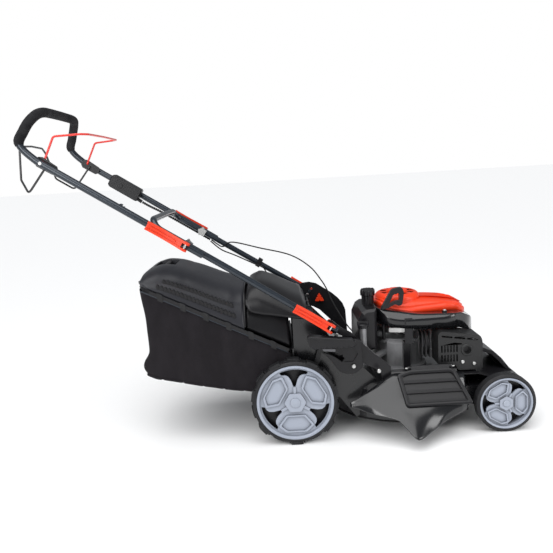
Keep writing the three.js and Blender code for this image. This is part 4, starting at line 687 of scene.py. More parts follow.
def make_ribbed_tyre(name, body, place):
    """A tyre turned from one profile, with four ribs round its tread."""
    inside, radius, width = FRONT_RIM + 0.3, FRONT_RADIUS, FRONT_WIDTH
    tread = []
    ribs = 4
    pitch = (width - 12) / ribs
    for i in range(ribs):
        start = -6 - i * pitch
        end = start - pitch + 2.4
        tread += [(radius, start), (radius, end), (radius - 2.2, end - 0.6),
                  (radius - 2.2, end - 1.8)]
    profile = ([(inside, -3), (inside + 1.5, -1.2), (inside + 4, -1), (inside + 5, -2),
                (radius - 3.5, -3), (radius - 1, -4.4)] + tread[:-2]
               + [(radius - 1, -width + 4.4), (radius - 4, -width + 3), (inside, -width + 1)])
    build(f"wheel_{name}", Shape().revolve(profile, 112, place, closed=True), "tyre_rubber", body,
          [name], smooth=30)


for side, label in SIDES:
    rear = wheel_place(0, REAR_RADIUS, side, 262)
    front = wheel_place(WHEELBASE, FRONT_RADIUS, side, 256, 30)
    make_rim(f"rear_rim_{label}", f"rear_wheel_{label}", REAR_RIM, REAR_WIDTH, rear)
    make_treaded_tyre(f"rear_tyre_{label}", f"rear_wheel_{label}", rear)
    make_rim(f"front_rim_{label}", f"front_wheel_{label}", FRONT_RIM, FRONT_WIDTH, front)
    make_ribbed_tyre(f"front_tyre_{label}", f"front_wheel_{label}", front)

# ---------------- handle
# Both tubes of the handle lie on one line that leans back from the lower pivot.
SLOPE = radians(33.4)
LEAN = Vector((-cos(SLOPE), 0, sin(SLOPE)))
ABOVE = Vector((LEAN.z, 0, -LEAN.x))
PIVOT_X, PIVOT_Z = 130, 404
LOWER_RADIUS, UPPER_RADIUS, UPPER_Y = 11, 11.5, 255.3
GRIP_LOW = 1.047
FOAM_BORE, FOAM_RADIUS = 11.8, 16


def on_handle(x, y, lift=0.0):
    """A point on the handle's line at a given x, lifted square to it."""
    return at(PIVOT_X, y, PIVOT_Z) + (LEAN * ((PIVOT_X - x) / -LEAN.x) + ABOVE * lift) * MM


lower_half = [on_handle(152, 245), on_handle(20, 245), on_handle(-190, 232.5),
              on_handle(-418, 232.5), on_handle(-440, 205, 13), on_handle(-440, 0, 15)]
lower_tube = Shape().tube(bent(both_sides(lower_half), 42, 10), LOWER_RADIUS, 28)
for side, _ in SIDES:
    pin = at(PIVOT_X, 0, PIVOT_Z) + LEAN * 50 * MM
    lower_tube.tube([Vector((pin.x, LAYOUT.y + side * y * MM, pin.z)) for y in (226, 242)], 3.5, 12)
build("lower_handle_tube", lower_tube, "tube_paint", "lower_frame", ["lower_handle"], smooth=40)

grip_half = [on_handle(-770, UPPER_Y), at(-806, 254, 1032), at(-821, 251, 1060),
             at(-808, 239, 1092), at(-794, 221, 1122), at(-778, 190, 1147), at(-769, 150, 1157),
             at(-774, 70, 1161), at(-776, 0, 1162)]
grip_curve = smooth_path(both_sides(grip_half), 120)
leg = (-272, -500, -700)
upper_tube = Shape().tube([*[on_handle(x, UPPER_Y) for x in leg], *grip_curve,
                           *[on_handle(x, -UPPER_Y) for x in leg[::-1]]], UPPER_RADIUS, 28)
# The rope guide is most of one turn of a coil.
guide = on_handle(-527, -228.3, 2)
GUIDE_RADIUS, GUIDE_STEPS = 9, 30
rope_ring = []
for k in range(GUIDE_STEPS + 1):
    turn = k / GUIDE_STEPS * 1.75 * pi + 0.9
    rope_ring.append(guide + Vector((GUIDE_RADIUS * cos(turn), (k / GUIDE_STEPS - 0.5) * 9,
                                     GUIDE_RADIUS * sin(turn))) * MM)
upper_tube.tube(rope_ring, 2.2, 10).tube([on_handle(-527, -UPPER_Y, 2), rope_ring[0]], 2.4, 10)
build("upper_handle_tube", upper_tube, "tube_paint", "upper_frame", ["upper_handle"], smooth=40)


def hollow_tube(path, bore, radii, sides=28):
    """An open tube with a wall; radii gives the outside at each point."""
    skin = Shape().tube(path, radii, sides)
    core = Shape().tube(path, bore, sides)
    rows = [slice(row * sides, (row + 1) * sides) for row in range(len(path))]
    rings = [skin.points[row] for row in rows] + [core.points[row] for row in rows[::-1]]
    return Shape().loft([*rings, rings[0]], caps=False)


grip = [point for point in grip_curve if point.z > GRIP_LOW]
taper = [FOAM_RADIUS - 2.6 * max(0, 1 - min(i, len(grip) - 1 - i) / 1.5)
         for i in range(len(grip))]
foam = build("grip_foam_sleeve", hollow_tube(grip, FOAM_BORE, taper), "foam", "upper_frame",
             ["foam_grip"], smooth=50)

BAIL_RADIUS, BAIL_Y = 3.5, 231.7
brake_half = [at(-757, 242.5, 995), at(-757, BAIL_Y, 995), at(-718, BAIL_Y, 1073),
              at(-640, 206, 1077), at(-622, 180, 1077), at(-620, 0, 1078)]
drive_half = [at(-749, 242.5, 983), at(-749, BAIL_Y, 983), at(-817, BAIL_Y, 899),
              at(-863, 165, 944), at(-875, 118, 1040), at(-877, 96, 1056), at(-879, 0, 1060)]
build("brake_bail_rod", Shape().tube(bent(both_sides(brake_half), 13, 8), BAIL_RADIUS, 20),
      "red_coating", "brake_lever", ["brake_bail"], smooth=50)
build("drive_bail_rod", Shape().tube(bent(both_sides(drive_half), 16, 8), BAIL_RADIUS, 20),
      "black_coating", "drive_lever", ["drive_bail"], smooth=50)

# ---------------- cables
sleeve_path = smooth_path([on_handle(-544, 229, -18), on_handle(-515, 240, -19),
                           on_handle(-475, 250, -17.5), on_handle(-400, 253, -16.9),
                           on_handle(-290, 253, -16.9)], 220)
SLEEVE_RADIUS, FOLD_DEPTH, FOLD_STEPS = 4.4, 0.85, 6
corrugation = [SLEEVE_RADIUS + FOLD_DEPTH * sin(k * 2 * pi / FOLD_STEPS)
               for k in range(len(sleeve_path))]
build("corrugated_sleeve", Shape().tube(sleeve_path, corrugation, 20), "cable_sheath",
      "upper_frame", ["cable_sleeve"], smooth=60)
CABLE_RADIUS, CABLE_POINTS = 2.6, 130


def make_cable(name, points, split):
    """A control cable in two lengths; neither is tied to a moving part, and both are baked in
    place.
    """
    path = smooth_path(points, CABLE_POINTS)
    near = build(f"{name}_upper_length", Shape().tube(path[:split + 1], CABLE_RADIUS, 14),
                 "cable_sheath", None, [name], smooth=60)
    far = build(f"{name}_lower_length", Shape().tube(path[split:], CABLE_RADIUS, 14),
                "cable_sheath", None, smooth=60)
    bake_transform(near)
    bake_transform(far)


make_cable("brake_cable", [
    on_handle(-286, 252, -15.5), on_handle(-262, 242, -17.5), on_handle(-240, 222, -12),
    at(-208, 212, 655), at(-99, 212, 625), at(19, 213, 590), at(97, 215, 537), at(142, 217, 476),
    at(163, 216, 436), at(186, 196, 380), at(232, 158, 300), at(270, 124, 262),
    at(296, 112, 258)], 20)
make_cable("drive_cable", [
    on_handle(-286, 248, -21.5), on_handle(-240, 236, -28), on_handle(-190, 222, -18),
    on_handle(-111, 222, -8), at(-93, 220, 548), at(-72, 218, 512), at(-17, 214, 446),
    at(18, 210, 370), at(34, 209, 300), at(38, 202, 268), at(44, 186, 246), at(50, 173, 219)], 18)


# ---------------- clamp levers
def make_cam_lever(name, body, seat, side):
    """A cam lever: two cheeks round its bolt, a plate between them and a spine along it."""
    outward = Vector((0, side, 0))
    across = LEAN.cross(outward)

    def place(u, v, w):
        return seat + (LEAN * u + outward * v + across * w) * MM

    back = smooth_flat([(30, 17), (80, 12), (124, 14), (134, 18), (138, 15)])
    under = smooth_flat([(138, 15), (128, 8), (84, 4), (40, 7), (12, 8), (8, 1.5)])
    head = smooth_flat([(-6, 1.5), (-11, 10), (-11, 16), (-6, 22), (4, 23), (30, 17)])
    shape = Shape()
    for low, high in ((-15, -8), (8, 15)):
        shape.prism(head[:-1] + back[:-1] + under, [], place, low, high)
    plate = smooth_flat([(12, 16.7), (30, 13.1), (80, 8.4), (124, 10), (134, 13.8), (137, 13)])
    plate += smooth_flat([(134, 11), (124, 8.4), (80, 6.6), (30, 10.6), (14, 14)])
    shape.prism(plate, [], place, -8, 8)
    spine = smooth_flat([(34, 16.4), (80, 12), (122, 13.6)]) + [(122, 9), (34, 11)]
    shape.prism(spine, [], place, -2.4, 2.4)
    build(f"{name}_arm", shape, "orange_plastic", body, [name], bevel=0.7, smooth=30)


def make_clamp_bolt(side, label):
    """The bolt through a bracket, with its cross pin outside and a three-lobed knob inside."""
    seat = at(PIVOT_X, side * 268.3, PIVOT_Z)
    pin = LEAN.cross(Vector((0, side, 0))) * 12 * MM
    bolt = Shape().tube([at(PIVOT_X, side * 222, PIVOT_Z), seat], 4, 20)
    bolt.tube([seat - pin, seat + pin], 3.2, 16)
    build(f"lower_clamp_bolt_{label}", bolt, "bright_steel", "chassis", [f"lower_bolt_{label}"])
    outline = lobed(lambda turn: 13.2 + 6.6 * cos(3 * turn) ** 3, 72, pi / 2, PIVOT_X, PIVOT_Z)
    knob = Shape().prism(outline, [], side_view(face=213.7, side=side), 0.4, 12)
    build(f"clamp_knob_{label}", knob, "bright_steel", "chassis", bevel=2.2, smooth=40,
          look="orange_plastic")


for side, label in SIDES:
    make_cam_lever(f"upper_lever_{label}", f"upper_clamp_{label}",
                   on_handle(-325, side * 267.1), side)
    make_cam_lever(f"lower_lever_{label}", f"lower_clamp_{label}",
                   at(PIVOT_X, side * 256.3, PIVOT_Z), side)
for side, label in SIDES:
    make_clamp_bolt(side, label)


def clip_place(u, v, w):
    return on_handle(-108, 240) + (LEAN * u + ABOVE * v) * MM + Vector((0, w * MM, 0))


cable_clip = Shape()
for low, high in ((-15, -11.2), (11.2, 15), (11.2, 20)):
    cable_clip.block((-9, low), (9, high), clip_place, -14, 14)
for y in (-15, 11.4):
    cable_clip.block((-9, -15), (9, 15), clip_place, y, y + 3.6)
build("handle_cable_clip", cable_clip, "black_plastic", "lower_frame", bevel=0.8)

bracket_heads = Shape()
for x, z in ((205, 258), (150, 372), (290, 236)):
    bracket_heads.revolve([(7.5, -3), (7.5, 0.6), (5.5, 3), (1, 3.6)], 28,
                          side_view(x, z, 234.2, -1))
build("bracket_screws", bracket_heads, "bright_steel", "chassis", bevel=0.4)
bail_pivot = on_handle(-758, -UPPER_Y, 1)
pivot_head = Shape().revolve([(5.6, 10.6), (5.6, 12.4), (4.2, 13.6), (1, 13.9)], 28,
                             lambda u, v, w: bail_pivot + Vector((u, -w, v)) * MM)
build("bail_pivot_screw", pivot_head, "bright_steel", "upper_frame", bevel=0.3)

# ---------------- grass bag
# (level from floor to rim, x) of its rear and front, and (x, z) of its floor.
BAG_REAR = [(0, -513), (0.06, -526), (0.13, -524), (0.2, -510), (0.27, -502), (0.53, -504),
            (0.8, -507), (1, -507)]
BAG_FRONT = [(0, -62), (0.15, -38), (0.3, -14), (0.45, -2), (1, -0.5)]
BAG_FLOOR = [(-62, 184), (-154, 181), (-322, 209), (-474, 243), (-516, 258)]
BAG_HALF = 207
RING_POINTS = 132
FLOOR_INSETS = [190, 165, 135, 105, 75, 48, 26, 10]
WALL_LEVELS = [0.0, 0.02, 0.05, 0.09] + [0.14 + 0.86 * k / 21 for k in range(22)]
CLOTH_FRAMES = 24
LARGEST_SAG, LARGEST_BULGE = 9 * MM, 3 * MM
HELD_BAND = 26
# The folds start this far out to the side and behind the mouth, and behind this x at the back.
SIDE_FOLDS_Y, SIDE_FOLDS_X, BACK_FOLDS_X = 160, -15, -470
MOUTH_X, MOUTH_Y, MOUTH_Z = -8, (-184, 74), (242, 312)


def bag_rim(x):
    """The rim's height, which falls towards the front."""
    return 309 - x * 0.5


def bag_ring(level, inset=0.0):
    """One loop round the bag, from its floor (level 0) to its rim (level 1)."""
    rear, front = eased(BAG_REAR, level) + inset, eased(BAG_FRONT, level) - inset
    half = BAG_HALF - inset
    corner = max(4.0, 34 - inset * 0.15)
    outline = rounded([(front, -half, 12), (rear, -half, corner), (rear, half, corner),
                       (front, half, 12)], 12, 7)
    ring = []
    for p in even_loop(outline, RING_POINTS):
        floor = eased(BAG_FLOOR, p.x)
        ring.append(at(p.x, p.y, floor + level * (bag_rim(p.x) - 0.6 - floor)))
    return ring


def make_bag_fabric():
    rings = [bag_ring(0.0, inset) for inset in FLOOR_INSETS]
    rings += [bag_ring(level) for level in WALL_LEVELS]
    shape = Shape().loft(rings, caps=False)
    shape.faces.append(list(reversed(range(RING_POINTS))))
    fabric = build("grass_bag_fabric", shape, "bag_fabric", None, smooth=70)
    settle(fabric)
    fold(fabric.data)
    return fabric


def settle(fabric):
    """A short cloth pass, held at the rim and the mouth, that sags the fabric a little."""
    mesh = fabric.data
    rest = [vertex.co.copy() for vertex in mesh.vertices]
    hold = fabric.vertex_groups.new(name="held")
    for vertex in mesh.vertices:
        x, height = (vertex.co.x - LAYOUT.x) / MM, vertex.co.z / MM
        near_rim = max(0.0, 1 - (bag_rim(x) - height) / HELD_BAND)
        near_mouth = max(0.0, 1 - (-x - 2) / HELD_BAND)
        hold.add([vertex.index], min(1.0, max(near_rim, near_mouth)), "REPLACE")
    cloth = fabric.modifiers.new("bag_cloth", "CLOTH")
    setting = cloth.settings
    setting.quality = 6
    setting.mass = 0.25
    setting.tension_stiffness = setting.compression_stiffness = 60
    setting.shear_stiffness = 30
    setting.bending_stiffness = 2.0
    setting.tension_damping = setting.compression_damping = 20
    setting.air_damping = 3
    setting.vertex_group_mass = "held"
    setting.use_pressure = True
    setting.uniform_pressure_force = 0.5
    cloth.point_cache.frame_start, cloth.point_cache.frame_end = 1, CLOTH_FRAMES
    for step in range(1, CLOTH_FRAMES + 1):
        bpy.context.scene.frame_set(step)
    settled = fabric.evaluated_get(bpy.context.evaluated_depsgraph_get())
    moved = [vertex.co.copy() for vertex in settled.to_mesh().vertices]
    settled.to_mesh_clear()
    fabric.modifiers.remove(cloth)
    bpy.context.scene.frame_set(1)
    for vertex, start, end in zip(mesh.vertices, rest, moved):
        shift = end - start
        if shift.length > LARGEST_SAG:
            shift *= LARGEST_SAG / shift.length
        outward = copysign(1, start.y - LAYOUT.y)
        if shift.y * outward > LARGEST_BULGE:
            shift.y = LARGEST_BULGE * outward
        vertex.co = start + shift


def fold(mesh):
    """Soft folds down the sides and the back that fade out at the rim and the floor."""
    for vertex in mesh.vertices:
        p = (vertex.co - LAYOUT) / MM
        floor = eased(BAG_FLOOR, p.x)
        level = (p.z - floor) / (bag_rim(p.x) - floor)
        fade = max(0.0, sin(pi * min(1, max(0, level)))) ** 1.2
        if abs(p.y) > SIDE_FOLDS_Y and p.x < SIDE_FOLDS_X:
            wave = (sin(p.x * 0.047 + p.z * 0.021 + 0.6)
                    + 0.6 * sin(p.x * 0.083 - p.z * 0.03)
                    + 0.5 * sin(p.x * 0.019 + p.z * 0.05 + 2))
            vertex.co.y -= copysign(fade * (1.6 + 1.5 * wave) * MM, p.y)
        if p.x < BACK_FOLDS_X:
            wave = sin(p.y * 0.035 + 0.4) + 0.5 * sin(p.y * 0.071 + p.z * 0.03)
            vertex.co.x += fade * (1.2 + 1.8 * wave) * MM


def finish_bag_fabric(fabric):
    """Opens the fabric behind the mouth plate and gives it its thickness."""
    mesh = fabric.data
    mouth = [face.index for face in mesh.polygons
             if (face.center.x - LAYOUT.x) / MM > MOUTH_X
             and MOUTH_Y[0] < (face.center.y - LAYOUT.y) / MM < MOUTH_Y[1]
             and MOUTH_Z[0] < face.center.z / MM < MOUTH_Z[1]]

    def open_mouth(work):
        work.faces.ensure_lookup_table()
        bmesh.ops.delete(work, geom=[work.faces[i] for i in mouth], context="FACES")

    edit_mesh(mesh, open_mouth)
    fabric.vertex_groups.clear()
    thick = fabric.modifiers.new("cloth_thickness", "SOLIDIFY")
    thick.thickness = 1.4 * MM
    thick.offset = -1
    smooth = fabric.modifiers.new("soft_surface", "SUBSURF")
    smooth.levels = smooth.render_levels = 1
    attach(fabric, "catcher")
    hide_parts("bag_fabric")


bag = make_bag_fabric()
first = len(FLOOR_INSETS) * RING_POINTS
floor_edge = [vertex.co.copy() for vertex in bag.data.vertices[first:first + RING_POINTS]]
finish_bag_fabric(bag)

# ---------------- bag lid and rear flap
# Tables of x, half width and crest; the flap's has its low edge third.
LID_RAISE, LID_SHOULDER = 13.7, 8
LID_TABLE = [(-507, 176, 578), (-499, 194, 600), (-478, 206, 612), (-433, 208, 621),
             (-353, 208, 603), (-200, 208, 546), (-157, 208, 531)]
LID_XS = ([-507, -505, -502, -498, -493, -487, -480, -472, -470.1, -469, -466]
          + steps(-460, -404, 7) + [-399, -397, -395.9, -394] + steps(-388, -157, 26))
NECK_TABLE = [(-153, 186, 508), (-60, 184, 520), (-6, 182, 490)]
POCKET_REAR, POCKET_FRONT, POCKET_HALF, POCKET_FLOOR = -470, -396, 58, 588
ACROSS = [0, 0.07, 0.14, 0.2, 0.25, 0.267, 0.2785, 0.288, 0.3, 0.36, 0.43, 0.5, 0.57, 0.64, 0.71,
          0.77, 0.82, 0.86, 0.9, 0.93, 0.955, 0.975, 0.99, 1.0]
ACROSS = [-q for q in ACROSS[:0:-1]] + ACROSS


def dome_height(rim, crest, half, y):
    """A flattened arch over an upright shoulder."""
    foot = rim + LID_SHOULDER
    t = min(1.0, abs(y) / half) ** (1 / 0.7)
    return foot + (crest - foot) * (1 - t ** 3.4) ** 0.8


def dome_arc(row):
    x, half, rim, crest = row
    return [(q * half, dome_height(rim, crest, half, q * half)) for q in ACROSS]


def lid_row(table, x):
    """(x, half width, rim, crest) at one x; the table gives half width and crest."""
    return x, eased(pairs(table, 1), x), bag_rim(x) + LID_RAISE, eased(pairs(table, 2), x)


def lid_top(x, y):
    _, half, rim, crest = lid_row(LID_TABLE, x)
    return dome_height(rim, crest, half, y)


def dome(rows, carve=False, ends=(True, True)):
    """An open cover through (x, half width, rim, crest) rows, carved for the carrying bar."""
    rings = []
    for row in rows:
        x, half, rim, _ = row
        ring = [at(x, -half, rim)]
        for y, z in dome_arc(row):
            if carve and POCKET_REAR < x < POCKET_FRONT and abs(y) < POCKET_HALF:
                z = POCKET_FLOOR
            ring.append(at(x, y, z))
        rings.append([*ring, at(x, half, rim)])
    shape = Shape().loft(rings, caps=False, closed=False)
    count = len(rings[0])
    if ends[0]:
        shape.faces.append(list(range(count)))
    if ends[1]:
        start = (len(rings) - 1) * count
        shape.faces.append(list(range(start + count - 1, start - 1, -1)))
    return shape


lid_rows = [lid_row(LID_TABLE, x) for x in LID_XS]
neck_rows = [lid_row(NECK_TABLE, x) for x in steps(-153, -6, 14)]
# The lid's dome takes the lighter copy of the black moulding as painted light on its top.
shell(build("bag_lid", dome(lid_rows, carve=True, ends=(True, False)), "black_plastic",
            "catcher", ["bag_top"], smooth=38, look="lid_painted_light"), 3)
shell(build("bag_lid_neck", dome(neck_rows, ends=(False, False)), "black_plastic", "catcher",
            ["bag_top"], smooth=38), 3)
lid_step = Shape().prism(dome_arc(lid_rows[-1]) + dome_arc(neck_rows[0])[::-1], [],
                         lambda u, v, w: at(w, u, v), -157, -153)
build("bag_lid_step", lid_step, "black_plastic", "catcher", ["bag_top"], smooth=38)
bar = Shape().tube([at(-433, y, 611 - 2.5 * (y / 58) ** 2) for y in range(-60, 61, 6)], 8, 20)
build("bag_carrying_bar", bar, "black_plastic", "catcher", ["bag_top"], smooth=50)


def make_vent_ridges(side, label):
    """Two rows of toothed ridges along one side of the lid."""
    ridges = Shape()
    for row_y, start, end in ((199, -444, -184), (184, -424, -190)):
        ledge = [(x, lid_top(x, side * row_y)) for x in steps(start, end, 12)]
        ridges.prism([(x, z - 9) for x, z in ledge] + [(x, z - 1) for x, z in ledge[::-1]], [],
                     side_view(face=row_y, side=side), -5, 6.5)

        def tooth_place(u, v, w):
            return at(u, side * (row_y + w), lid_top(u, side * row_y) + v)

        for x in range(start + 1, end - 8, 13):
            ridges.prism([(x, -12), (x + 2, 3.4), (x + 8, 3.4), (x + 10, -12)], [], tooth_place,
                         -3.4, 8.2)
    build(f"lid_vents_{label}", ridges, "black_plastic", "catcher", bevel=0.5, smooth=30)


CLIPS, CLIP_START, CLIP_PITCH = 6, -62, 74
SEAM_Y, SEAM_X = 150 * MM, -64 * MM
SEAM_RADIUS, TACK_PITCH, TACK_DEPTH = 3.4, 29, 2.4


def make_band(side, label):
    """The piping round the rim, the clips that hold the fabric to it and the seam below."""
    line = [at(x, side * 211.5, bag_rim(x) - 1.6) for x in steps(-14, -496, 24)]
    build(f"bag_piping_{label}", Shape().tube(line, 2.0, 10), "tube_paint", "catcher", smooth=60)
    clips = Shape()
    for k in range(CLIPS):
        x = CLIP_START - CLIP_PITCH * k
        z = bag_rim(x)
        clips.prism(rounded([(x - 9, z - 4.5), (x + 9, z - 13.5), (x + 9, z + 12.5),
                             (x - 9, z + 21.5)], 2.5, 3), [],
                    side_view(face=211.6, side=side), 0, 4.2)
    build(f"bag_clips_{label}", clips, "black_rubber", "catcher", bevel=0.8, smooth=30)
    # The bound seam along the floor follows the settled fabric, with a notch at each tack.
    edge = sorted((p for p in floor_edge
                   if side * (p.y - LAYOUT.y) > SEAM_Y and p.x - LAYOUT.x < SEAM_X),
                  key=lambda p: -p.x)
    path = smooth_path(edge, 200)
    binding = [SEAM_RADIUS - TACK_DEPTH * max(0.0, 1 - abs(k % TACK_PITCH - TACK_PITCH // 2) / 2.2)
               for k in range(len(path))]
    build(f"bag_floor_seam_{label}", Shape().tube(path, binding, 10), "bag_fabric", "catcher",
          smooth=60)


for side, label in SIDES:
    make_vent_ridges(side, label)
for side, label in SIDES:
    make_band(side, label)

FLAP_TABLE = [(-149, 188, 476, 520), (-140, 196, 462, 538), (-116, 198, 452, 550),
              (-90, 198, 446, 552), (45, 198, 424, 490), (58, 192, 428, 468)]
FLAP_XS = ([-149, -147.5, -145, -141, -136, -130, -123, -115, -105, -92] + steps(-80, 40, 12)
           + [46, 51, 55, 58])
flap_rows = [(x, *[eased(pairs(FLAP_TABLE, k), x) for k in (1, 2, 3)]) for x in FLAP_XS]
shell(build("rear_flap_cover", dome(flap_rows), "black_plastic", "rear_guard", ["rear_flap"],
            smooth=38), 3)
hinge = Shape().tube([at(68, -158, 450), at(68, 50, 450)], 4, 20)
for y in (-146, -60, 28):
    hinge.block((52, 446), (70, 456), side_view(), y, y + 10)
build("rear_flap_hinge", hinge, "black_plastic", "rear_guard", ["rear_flap"], bevel=0.6)

# ---------------- engine covers
# Heights by x along the middle, and by distance from it across.
ROOF = [(304, 424), (365, 416), (452, 402), (601, 396), (650, 372), (668, 352)]
SHELL_END = [(0, 437), (60, 437), (96, 434), (128, 412), (150, 388), (153, 380)]
SHELL_LOW = [(300, 372), (366, 360), (452, 352), (590, 345), (664, 318)]
SHELL_PLAN = both_halves([(308, -96), (336, -140), (392, -150), (560, -148), (636, -104),
                          (664, -56)])
STARTER_SIDE = [(308, 438), (318, 447), (360, 451), (430, 440), (520, 436), (600, 424),
                (640, 402), (652, 384)]
STARTER_END = [(0, 447), (50, 446), (66, 440), (80, 430), (90, 420), (98, 408)]
STARTER_PLAN = both_halves([(312, -34), (332, -70), (372, -92), (420, -96), (480, -92),
                            (560, -88), (620, -72), (646, -30)])
COVER_POINTS = 144
FLYWHEEL_X = 400
CROWN_X = 402
COVER_SCREWS = ((548, -112), (548, 112))


def inset_loop(points, distance):
    """A convex outline moved in by a distance."""
    result = []
    for i, point in enumerate(points):
        before, here = Vector(points[i - 1]), Vector(point)
        after = Vector(points[(i + 1) % len(points)])
        a, b = (here - before).normalized(), (after - here).normalized()
        normal = Vector((-a.y, a.x))
        out = normal + Vector((-b.y, b.x))
        out = out / max(0.2, out.dot(normal))
        result.append(tuple(here + out * distance))
    return result


def soft_least(a, b, blend=7.0):
    """The lower of two heights, rounded where they meet."""
    h = max(blend - abs(a - b), 0.0) / blend
    return min(a, b) - h * h * blend * 0.25


def stepped_cover(plan, radius, insets, low, height):
    """An open cover from its low edge up its side and in over its top."""
    rings = []
    for k, inset in enumerate(insets):
        loop = even_loop(rounded(inset_loop(plan, inset), max(4, radius - inset * 0.3), 6),
                         COVER_POINTS)
        if k == 0:
            rings.append([at(p.x, p.y, low(p.x)) for p in loop])
        rings.append([at(p.x, p.y, height(p.x, p.y, inset)) for p in loop])
    return Shape().loft(rings, caps=False)


def shell_height(x, y, inset):
    lip = 2.5 * exp(-inset / 1.5)
    return soft_least(eased(ROOF, x), eased(SHELL_END, abs(y))) - lip


def starter_height(x, y, inset):
    top = soft_least(eased(STARTER_SIDE, x), eased(STARTER_END, abs(y)), 5)
    step_down = 6.0 if inset < 7 else 0.0
    return max(eased(ROOF, x) + 0.6, top - step_down - 2.2 * exp(-inset / 1.2))


blower = stepped_cover(SHELL_PLAN, 24, [0, 1.5, 3.5, 6, 10, 15, 21, 28, 36, 44, 52],
                       lambda x: eased(SHELL_LOW, x), shell_height)
shell(build("blower_housing_shell", blower, "black_plastic", "chassis", ["blower_housing"],
            smooth=34, look="gloss_moulding"), 3)
ribs = Shape()
# A strap down the right side, its lower leg and the shelf between them.
ribs.block((398, 300), (426, 392), side_view(), -149.5, -145)
ribs.block((400, 198), (424, 304), side_view(), -112, -109)
ribs.block((398, 300), (426, 303), side_view(), -149.5, -109)
for x, y in COVER_SCREWS:
    ribs.revolve([(9, 390), (9, 403), (7.5, 404.5), (1, 404.8)], 28, plan_view(x, y))
for degrees in (-130, -58, 58, 130):
    x, y = polar(98, radians(degrees), FLYWHEEL_X)
    ribs.tube([at(x, y, 300.3), at(x, y, eased(ROOF, x) - 3)], 6, 16)
build("blower_housing_ribs", ribs, "black_plastic", "chassis", ["blower_housing"], bevel=0.8)

starter = stepped_cover(
    STARTER_PLAN, 30, [0, 0.8, 2, 4, 6.6, 7.4, 8.2, 10, 13, 17, 22, 28, 35, 43, 52, 62, 74],
    lambda x: eased(ROOF, x) - 4.5, starter_height)
starter.faces.append(list(range(len(starter.points) - COVER_POINTS, len(starter.points))))
shell(build("starter_cover_skirt", starter, "orange_plastic", "chassis", ["starter_cover"],
            smooth=34), 2.2)

stripe_edge = [(466, 21), (500, 24), (560, 26), (610, 25), (630, 14), (635, 0)]
stripe_plan = stripe_edge + [(u, -v) for u, v in stripe_edge[-2::-1]]
stripe_rings = []
for inset, lift in ((0, -6), (0, 3.6), (0.6, 4.8), (2, 5.6), (4.5, 6)):
    loop = rounded(inset_loop(stripe_plan[::-1], -inset), 9, 5)
    stripe_rings.append([at(u, v, eased(STARTER_SIDE, u) + lift) for u, v in loop])
build("starter_cover_stripe", Shape().loft(stripe_rings), "orange_plastic", "chassis",
      ["starter_cover"], smooth=34)

crown_place = plan_view(CROWN_X, 0)
crown = Shape().revolve([(82, 424), (82, 441), (81.3, 446), (79, 451.5), (75.5, 456), (71, 459.5),
                         (66, 461.5), (64, 461.5), (64, 455), (70, 452), (77, 444), (79, 436),
                         (79, 424)], 112, crown_place, closed=True)
vents = [rounded(arc_block(k * 45 + 2, k * 45 + 34, 40, 62, 8), 4, 3) for k in range(8)]
crown.prism(circle(66, 96), vents, crown_place, 458.6, 461.6)
crown.revolve([(38, 460), (37.5, 465), (35, 468.4), (31, 470.2), (24, 471), (1, 471)], 64,
              crown_place)
build("starter_cover_crown", crown, "orange_plastic", "chassis", ["starter_cover"], bevel=0.7,
      smooth=30)
screen_holes = []
for radius in (20, 36, 52):
    # Each ring is turned by its own radius, which keeps the holes out of line.
    screen_holes += [circle(5, 16, *polar(radius, k * 2 * pi / 8 + radius)) for k in range(8)]
screen = Shape().prism(circle(66, 64), screen_holes, crown_place, 449, 451)
build("starter_rope_screen", screen, "black_coating", "chassis", ["starter_cover"], smooth=30)

recoil_outline = rounded([(320, 420), (362, 492), (398, 498), (405, 480), (398, 436), (386, 431),
                          (372, 438), (346, 424)], 11, 6)
recoil_hole = rounded([(350, 440), (368, 474), (388, 478), (388, 450), (376, 450)], 7, 5)
recoil = Shape().prism(recoil_outline, [recoil_hole], side_view(), -119, -101)
build("recoil_grip", recoil, "black_plastic", "starter_grip", ["recoil_handle"], bevel=4.0,
      smooth=30)

cap_place = plan_view(285, -60)
knurl = lobed(lambda turn: 24.6 + 1.3 * cos(turn * 12), 144)
cap = Shape().loft([[cap_place(u * scale, v * scale, z) for u, v in knurl] for scale, z in (
    (0.86, 431), (0.86, 462), (0.88, 464), (0.99, 465), (1.02, 467), (1.02, 481), (1, 484.5),
    (0.94, 487), (0.8, 488.5))])
cap.prism(rounded([(-22, -5), (22, -5), (22, 5), (-22, 5)], 4, 4), [], cap_place, 487, 490)
build("fuel_filler_cap", cap, "black_plastic", "filler_cap", ["fuel_cap"], bevel=0.8, smooth=30)

# ---------------- height lever grip
GRIP_FACE = (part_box("height_lever")[0].y - LAYOUT.y) / MM
GRIP_START = 60
grip_place = side_view(face=GRIP_FACE)
grip_ribs = Shape()
for x in range(GRIP_START, GRIP_START + 24 * 6, 6):
    crest = 386 - (x - GRIP_START) * 0.14
    grip_ribs.block((x, 368), (x + 3, crest), grip_place, -1.2, 4)
build("height_grip_ribs", grip_ribs, "black_rubber", "rear_carrier", bevel=0.5, smooth=30)
insert = Shape().prism(rounded([(96, 342), (140, 339), (140, 330), (102, 334)], 2, 3), [],
                       grip_place, 2.5, 9)
build("height_grip_insert", insert, "grey_plastic", "rear_carrier", bevel=0.6,
      look="insert_moulding")

# ---------------- muffler guard
GUARD_FACE, GUARD_BACK = -177.5, -92
OUTLET_X, OUTLET_Z = 606, 276
GUARD_X, GUARD_Z, GUARD_WALL = 583, 275, 0.03
guard_outline = rounded([(506, 224), (566, 224), (574, 204), (660, 204), (660, 306), (652, 326),
                         (516, 346), (506, 336)], 9, 5)


def guard_fall(x):
    return 338 - (x - 516) * 0.147


